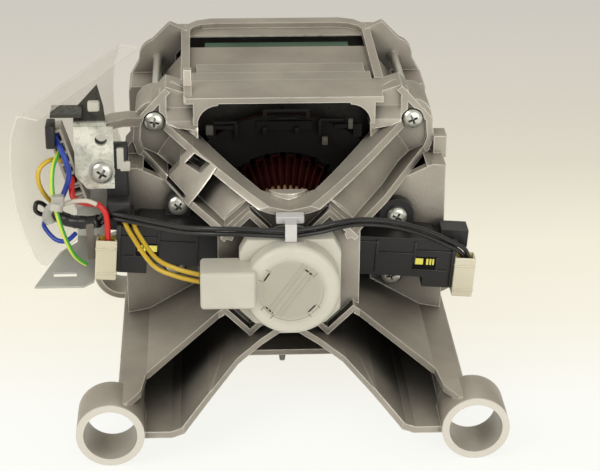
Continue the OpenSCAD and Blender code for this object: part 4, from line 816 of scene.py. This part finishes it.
for side, sign in (("left", -1), ("right", 1)):
    along = Vector((sign * math.cos(brush_tilt), 0, -sign * math.sin(brush_tilt)))
    across = along.cross(Vector((0, 1, 0)))
    line = []
    for i in range(turn_steps * spring_turns + 1):
        part = i / turn_steps
        open_turns = min(max(part - 1, 0), open_span)
        reach = (spring_inner + closed_pitch * (part - open_turns)
                 + open_turns / open_span * (spring_outer - spring_inner - 2 * closed_pitch))
        turn = 2 * math.pi * part
        line.append(along * reach + brush_line + Vector((0, spring_radius * math.cos(turn), 0))
                    + across * spring_radius * math.sin(turn))
    verts, faces = [], []
    add_tube(verts, faces, line, [spring_wire] * len(line), 8)
    coil = from_mesh("brush_coil_" + side, verts, faces, ground, "spring_steel", "housing",
                     "brush_spring_" + side)
    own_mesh(coil)
graphite = finish_with("pressed_graphite", (0.02, 0.02, 0.02), (0.035, 0.035, 0.035), 0.5, 0.0,
                       1200, 0.00008)
dress(graphite, "carbon", "carbon_brush_left", "carbon_brush_right")
soften(0.0003, "carbon_brush_left", "carbon_brush_right", segments=1)


# Two screws hold each brush holder to its pads on the shield. They have the domed cross
# heads of the tie bolts, a little lower.
screws_for("brush_gear_screws", "holder_screws", radius=0.0043, height=0.003, shank=0.00196,
           turn=0.3, step=0.7)


# The push-on connectors of the brushes wear cream covers. They are moulded boxes with
# a raised band round each end.
cream = soft_plastic("cream_nylon", (0.58, 0.53, 0.385), (0.65, 0.60, 0.455), 0.4, 0.15, recess_shade=0.3)
dress(cream, "white_plastic", "terminal_cover_left", "terminal_cover_right")
soften(0.0008, "terminal_cover_left", "terminal_cover_right")
band_inset, band_rise = 0.8, 0.4
for side in ("left", "right"):
    low, high = [Vector(corner) * 1000 + Vector((0, 235, 0))
                 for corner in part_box("terminal_cover_" + side)]
    levels = ((high.z - 4.5, high.z - 3.5), (low.z + 3, low.z + 4))
    bands = moulded_blocks("cover_bands_" + side, 0.3, 2, *[
        ((low.x + band_inset, low.y - band_rise, z0), (high.x - band_inset, high.y + band_rise, z1))
        for z0, z1 in levels])
    fitted(bands, cream, "white_plastic", "housing")


# The terminal bracket and the lower bracket are galvanised sheet, cut and bent. The zinc
# shows its spangle, the upper tab is painted dark as shade, and a screw with a washer holds
# the bracket to the shield's arm. The contacts are plated too, and the earth terminal is tinned.
spangled, tree, shader = new_material("galvanised_sheet")
place = own_place(tree)
flakes = placed(tree, "ShaderNodeTexVoronoi", {"Vector": place, "Scale": 620})
clouds = placed(tree, "ShaderNodeTexNoise", {"Vector": place, "Scale": 90, "Detail": 5})
levels = placed(tree, "ShaderNodeSeparateColor", {0: flakes.outputs["Color"]}).outputs
tone = colour_ramp(tree, maths(tree, "MULTIPLY_ADD", levels[0], 0.16, clouds.outputs[0]),
                   (0.4, (0.40, 0.395, 0.335)), (0.72, (0.74, 0.73, 0.62)))
apart = placed(tree, "ShaderNodeSeparateXYZ", {0: place})
# Painted shade: above a height the upper tab is painted near black.
tab_painted_shade = spread_over(tree, apart.outputs["Z"], 0.0566, 0.0578)
tree.links.new(mixed_colour(tree, tab_painted_shade, tone.outputs[0], (0.045, 0.043, 0.034)),
               shader.inputs["Base Color"])
tree.links.new(spread_over(tree, levels[1], 0, 1, 0.22, 0.5), shader.inputs["Roughness"])
shader.inputs["Metallic"].default_value = 0.55
dress(spangled, "galvanised", "terminal_bracket")
plain_zinc = finish_with("plain_zinc", (0.42, 0.415, 0.37), (0.52, 0.515, 0.46), 0.36, 0.6, 500,
                         0.00003, worn=(0.75, 0.74, 0.68), width=0.0004, recess_shade=0.4, reach=0.004)
dress(plain_zinc, "galvanised", "lower_bracket", "connector_contacts")
tarnished = finish_with("tarnished_tin", (0.10, 0.085, 0.065), (0.20, 0.175, 0.14), 0.45, 0.6,
                        900, 0.0001, recess_shade=0.6, reach=0.004)
dress(tarnished, "galvanised", "earth_terminal")
soften(0.0003, "terminal_bracket", "earth_terminal", segments=1)
head_height = 0.0032
screws_for("terminal_bracket_screw", "bracket_screw", radius=0.0046, height=head_height,
           shank=0.00196, turn=0.9, step=0)
x, _, z = middles_of("bracket_screw")[0]
seat = (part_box("bracket_screw")[0][1] + head_height) * 1000 + 235
washer = drum("bracket_washer", 5.6, seat - 0.5, seat + 0.3, 0.3, x=x * 1000, z=z * 1000,
              vertices=48)
fitted(washer, plain_zinc, "zinc_steel", "housing")


# The comb connector is moulded in greyed nylon, one chamber for each lead. A black key
# block closes its upper end. Beside the bracket, a black guide with a collar takes the
# leads past the holder, and a white latch with a barb holds it.
grey_nylon = soft_plastic("greyed_nylon", (0.36, 0.33, 0.27), (0.46, 0.43, 0.36), 0.45, 0.1,
                          recess_shade=0.7)
dress(grey_nylon, "white_plastic", "connector_housing")
soften(0.0003, "connector_housing", segments=1)
key = moulded_blocks("connector_key", 0.7, 3, ((-101.4, 70.5, 47.7), (-97.6, 80, 58.2)))
fitted(key, black, "black_plastic", "housing")
guide = moulded_blocks("lead_guide", 0.8, 3, ((-77, 77.2, 18.6), (-67.6, 84, 46)))
collar = moulded_blocks("collar", 0.9, 3, ((-77, 68.6, 18.2), (-66.4, 80, 23.9)))
combined(guide, collar, "UNION")
fitted(guide, black, "black_plastic", "housing")
latch = moulded_blocks("guide_latch", 0.5, 2, ((-72.2, 75.6, 36.2), (-69.2, 78, 45.6)))
barb = moulded_blocks("barb", 0.9, 2, ((-71, 75.6, 35), (-66.4, 78, 39.6)))
combined(latch, barb, "UNION")
fitted(latch, nylon, "white_plastic", "housing")


# The splash guard is a sheet of clear plastic, bent over the connector and pinned to the
# bracket with a pushed-in nylon stud. Its cut edges are painted more opaque, a painted highlight
# where they catch the light.
clear, tree, shader = new_material("clear_sheet")
shader.inputs["Base Color"].default_value = (0.86, 0.83, 0.72, 1)
shader.inputs["Roughness"].default_value = 0.16
edge_highlight = placed(tree, "ShaderNodeGroup", {"Width": 0.0009, "Breakup Scale": 60}, node_tree=edge_tree)
# Painted highlight: the edge mask raises the alpha along the cut edges.
tree.links.new(spread_over(tree, edge_highlight.outputs["Mask"], 0, 1, 0.2, 0.5), shader.inputs["Alpha"])
waves = placed(tree, "ShaderNodeTexNoise", {"Vector": own_place(tree), "Scale": 30})
roughened(tree, shader, waves.outputs[0], 0.0006)
dress(clear, "clear_sheet", "splash_guard")
soften(0.0002, "splash_guard", segments=1)
stud = moulded_blocks("guard_stud", 0.9, 3, ((-83.3, 69.4, 64.6), (-78.3, 72.6, 69)))
fitted(stud, nylon, "white_plastic", "housing")


# A white clip hooks over the cap's seat and holds the brush leads to the shield.
# It is one nylon moulding with a springy finger.
clip_nylon = finish_with("clip_nylon", (0.50, 0.49, 0.46), (0.60, 0.59, 0.56), 0.45, 0.0, 500,
                         0.00003)
dress(clip_nylon, "white_plastic", "cable_clip")
soften(0.0008, "cable_clip")


# The leads are stranded copper in coloured insulation. The black pair feeds the brushes,
# the yellow pair comes from the tacho, and all of them end in the comb connector.
def skin_of(name, colour, rough=0.32):
    """Insulation of one colour, a little darker in places."""
    return finish_with(name, tuple(0.8 * c for c in colour), colour, rough, 0.0, 1200, 0.00003,
                       recess_shade=0.25, reach=0.003)


lead_sides = 12


def lead(name, points, radius, material, slot, replaced):
    """A lead through the part's own route, a round tube with a UV map."""
    line = smooth_line([station(*p) for p in points], 6)
    verts, faces = [], []
    add_tube(verts, faces, line, [radius / 1000] * len(line), lead_sides)
    piece = from_mesh(name, verts, faces, material, slot, "housing", replaced)
    layer = piece.data.uv_layers.new(name="UVMap")
    for i, face in enumerate(piece.data.polygons[:(len(line) - 1) * lead_sides]):
        along, around = divmod(i, lead_sides)
        corners = ((around, along), (around + 1, along), (around + 1, along + 1),
                   (around, along + 1))
        for loop, (u, v) in zip(face.loop_indices, corners):
            layer.data[loop].uv = (u / lead_sides, v / len(line))


def beside(points, gap):
    """The route of a second lead that runs alongside in the plane of the first."""
    moved = []
    for i, point in enumerate(points):
        before, after = points[max(i - 1, 0)], points[min(i + 1, len(points) - 1)]
        ahead = (Vector(after) - Vector(before)).normalized()
        moved.append(tuple(Vector(point) + Vector((-ahead.z, 0, ahead.x)).normalized() * gap))
    return moved


thin, middling, thick = 1.0, 1.2, 1.3
brush_route = [
    (-79.4, 70.5, 13.6), (-76, 70, 16), (-66.9, 64.4, 16.9), (-54.8, 54, 18.7), (-43.9, 46, 19.8),
    (-33.1, 40, 21.7), (-22.1, 37.6, 22.4), (-11, 36.6, 22.2), (0, 36.4, 21.8), (11.3, 37, 23),
    (20.6, 40, 23.8), (29.4, 46, 22.3), (42.2, 56, 16.9), (54.7, 62, 11), (67.1, 65, 4.3),
    (75.2, 67.4, -1.2), (76.9, 67.8, -6)]
black_skin = skin_of("black_insulation", (0.012, 0.0115, 0.0115), 0.3)
yellow_skin = skin_of("yellow_insulation", (0.60, 0.39, 0.025))
red_skin = skin_of("red_insulation", (0.62, 0.018, 0.014))
blue_skin = skin_of("blue_insulation", (0.012, 0.045, 0.33))
pale_skin = skin_of("pale_insulation", (0.62, 0.56, 0.46))
lead("brush_lead_lower", brush_route, thin, black_skin, "black_lead", "brush_leads")
lead("brush_lead_upper", beside(brush_route, 2.3), thin, black_skin, "black_lead", "brush_leads")
lead("tacho_lead_upper", [
    (-70.2, 78, 21.8), (-69.2, 70.8, 19.2), (-66, 69, 15), (-63.8, 64.6, 11.4), (-56.3, 49, 7.2),
    (-47.8, 40, 6.2), (-37, 36, 4.7)], thin, yellow_skin, "yellow_lead", "tacho_leads")
lead("tacho_lead_lower", [
    (-75.2, 77, 22.8), (-73.5, 70.6, 20), (-70, 69.7, 15.2), (-66.6, 64, 11), (-57.4, 46, 5.2),
    (-47.9, 39.4, 3), (-37, 36, 1.5)], thin, yellow_skin, "yellow_lead", "tacho_leads")


def from_chamber(number, *points):
    """A route that starts on a contact of the comb connector."""
    chamber_pitch, lean = 5, math.radians(-17.2)
    comb_x, comb_z, contact, mouth = -98.5, 53.6, 80.4, 75.9
    down = -(number + 0.5) * chamber_pitch - 1
    x, z = comb_x + down * math.sin(lean), comb_z + down * math.cos(lean)
    return [(x, contact, z), (x, mouth, z), *points]


lead("red_feed", from_chamber(
    4, (-91, 71.4, 25.4), (-85.5, 69.4, 23.4), (-80.9, 67.8, 23.6), (-77.6, 67.5, 20.3),
    (-76.7, 67.5, 14.2), (-76.9, 67.5, 3)), thick, red_skin, "red_lead_skin", "red_lead")
striped = skin_of("striped_insulation", (0.07, 0.42, 0.06))
tree = striped.node_tree
wrapped = placed(tree, "ShaderNodeUVMap", uv_map="UVMap")
apart = placed(tree, "ShaderNodeSeparateXYZ", {0: wrapped.outputs[0]})
off, on = (0, 0, 0), (1, 1, 1)
lanes = colour_ramp(tree, apart.outputs["X"], (0, off), (0.08, on), (0.33, off), (0.58, on),
                    (0.83, off))
lanes.color_ramp.interpolation = "CONSTANT"
tinted(striped, lanes.outputs[0], (0.56, 0.62, 0.05))
lead("earth_wire", from_chamber(
    1, (-98.6, 68, 40.6), (-99, 64, 31), (-96.8, 60.4, 20.8), (-93.9, 60, 10.6),
    (-90.6, 62, 2.1), (-86.2, 66, -3.6)), thin, striped, "earth_lead_skin", "earth_lead")
lead("blue_feed", from_chamber(
    0, (-94.4, 71, 45.6), (-92.2, 70.6, 37), (-93.6, 70.6, 30.6), (-97, 74.6, 22)),
    middling, blue_skin, "blue_lead_skin", "blue_leads")
lead("blue_tail", [
    (-102.2, 79.8, 12.9), (-104.4, 76.2, 10.4), (-99.6, 70.4, 6.6), (-94.6, 69, 6.2),
    (-90.6, 72.4, 8.2)], thin, blue_skin, "blue_lead_skin", "blue_leads")
lead("yellow_link", from_chamber(
    2, (-99.9, 73, 42), (-104.4, 70.4, 39.2), (-105, 69, 33.6), (-102.6, 70, 27),
    (-98.6, 75.4, 19.6)), thin, yellow_skin, "yellow_lead", "yellow_loop")
lead("black_link", [
    (-102.2, 81.2, 15.8), (-105, 78.4, 19.8), (-107, 75, 21.4), (-107.4, 74.2, 18.2),
    (-105, 76.2, 15.6), (-102.4, 78.6, 15.4)], thin, black_skin, "black_lead", "black_loop")
lead("pale_link", [(-94.4, 62.4, 26), (-90, 65, 26.4), (-84.6, 65.4, 26.2), (-80.8, 65.4, 24.6)],
     thin, pale_skin, "white_plastic", "pale_lead")


# A black sleeve keeps the bundle together behind the holder, and a nylon cable tie with
# its cut tail pulls the leads tight.
line = smooth_line([station(*p) for p in (
    (-100.6, 80, 14.4), (-93.3, 77.6, 11.8), (-86, 74.6, 12.2), (-80.6, 71.4, 14.2))], 10)
creases = random.Random(11)
radii = [0.0029 + creases.uniform(-0.00022, 0.0001) for _ in line]
verts, faces = [], []
add_tube(verts, faces, line, radii, 20)
from_mesh("bundle_sleeve", verts, faces, black_skin, "black_lead", "housing", "black_sleeve")
dress(nylon, "white_plastic", "cable_tie")
tie_head = moulded_blocks("tie_head", 0.8, 3, ((-99.4, 59.8, 25.6), (-94, 63.6, 30.6)))
tie_nylon = soft_plastic("tie_nylon", (0.42, 0.41, 0.355), (0.50, 0.49, 0.43), 0.35, 0.3)
tie_nylon.node_tree.nodes["Principled BSDF"].inputs["Alpha"].default_value = 0.75
fitted(tie_head, tie_nylon, "white_plastic", "housing")
line = smooth_line([station(*p) for p in (
    (-98.4, 61.4, 27.6), (-100.6, 61, 25.4), (-101.6, 61, 21.4), (-100.2, 61.8, 17.6))], 8)
strip = ((-1.9, -0.5), (1.9, -0.5), (1.9, 0.5), (-1.9, 0.5))
verts = [point + Vector((dx, dy, 0.3 * dx)) / 1000 for point in line for dx, dy in strip]
last = 4 * (len(line) - 1)
faces = [(i + k, i + 4 + k, i + 4 + (k + 1) % 4, i + (k + 1) % 4)
         for i in range(0, last, 4) for k in range(4)]
faces += [(0, 1, 2, 3), (last + 3, last + 2, last + 1, last)]
from_mesh("tie_tail", verts, faces, tie_nylon, "white_plastic", "housing")
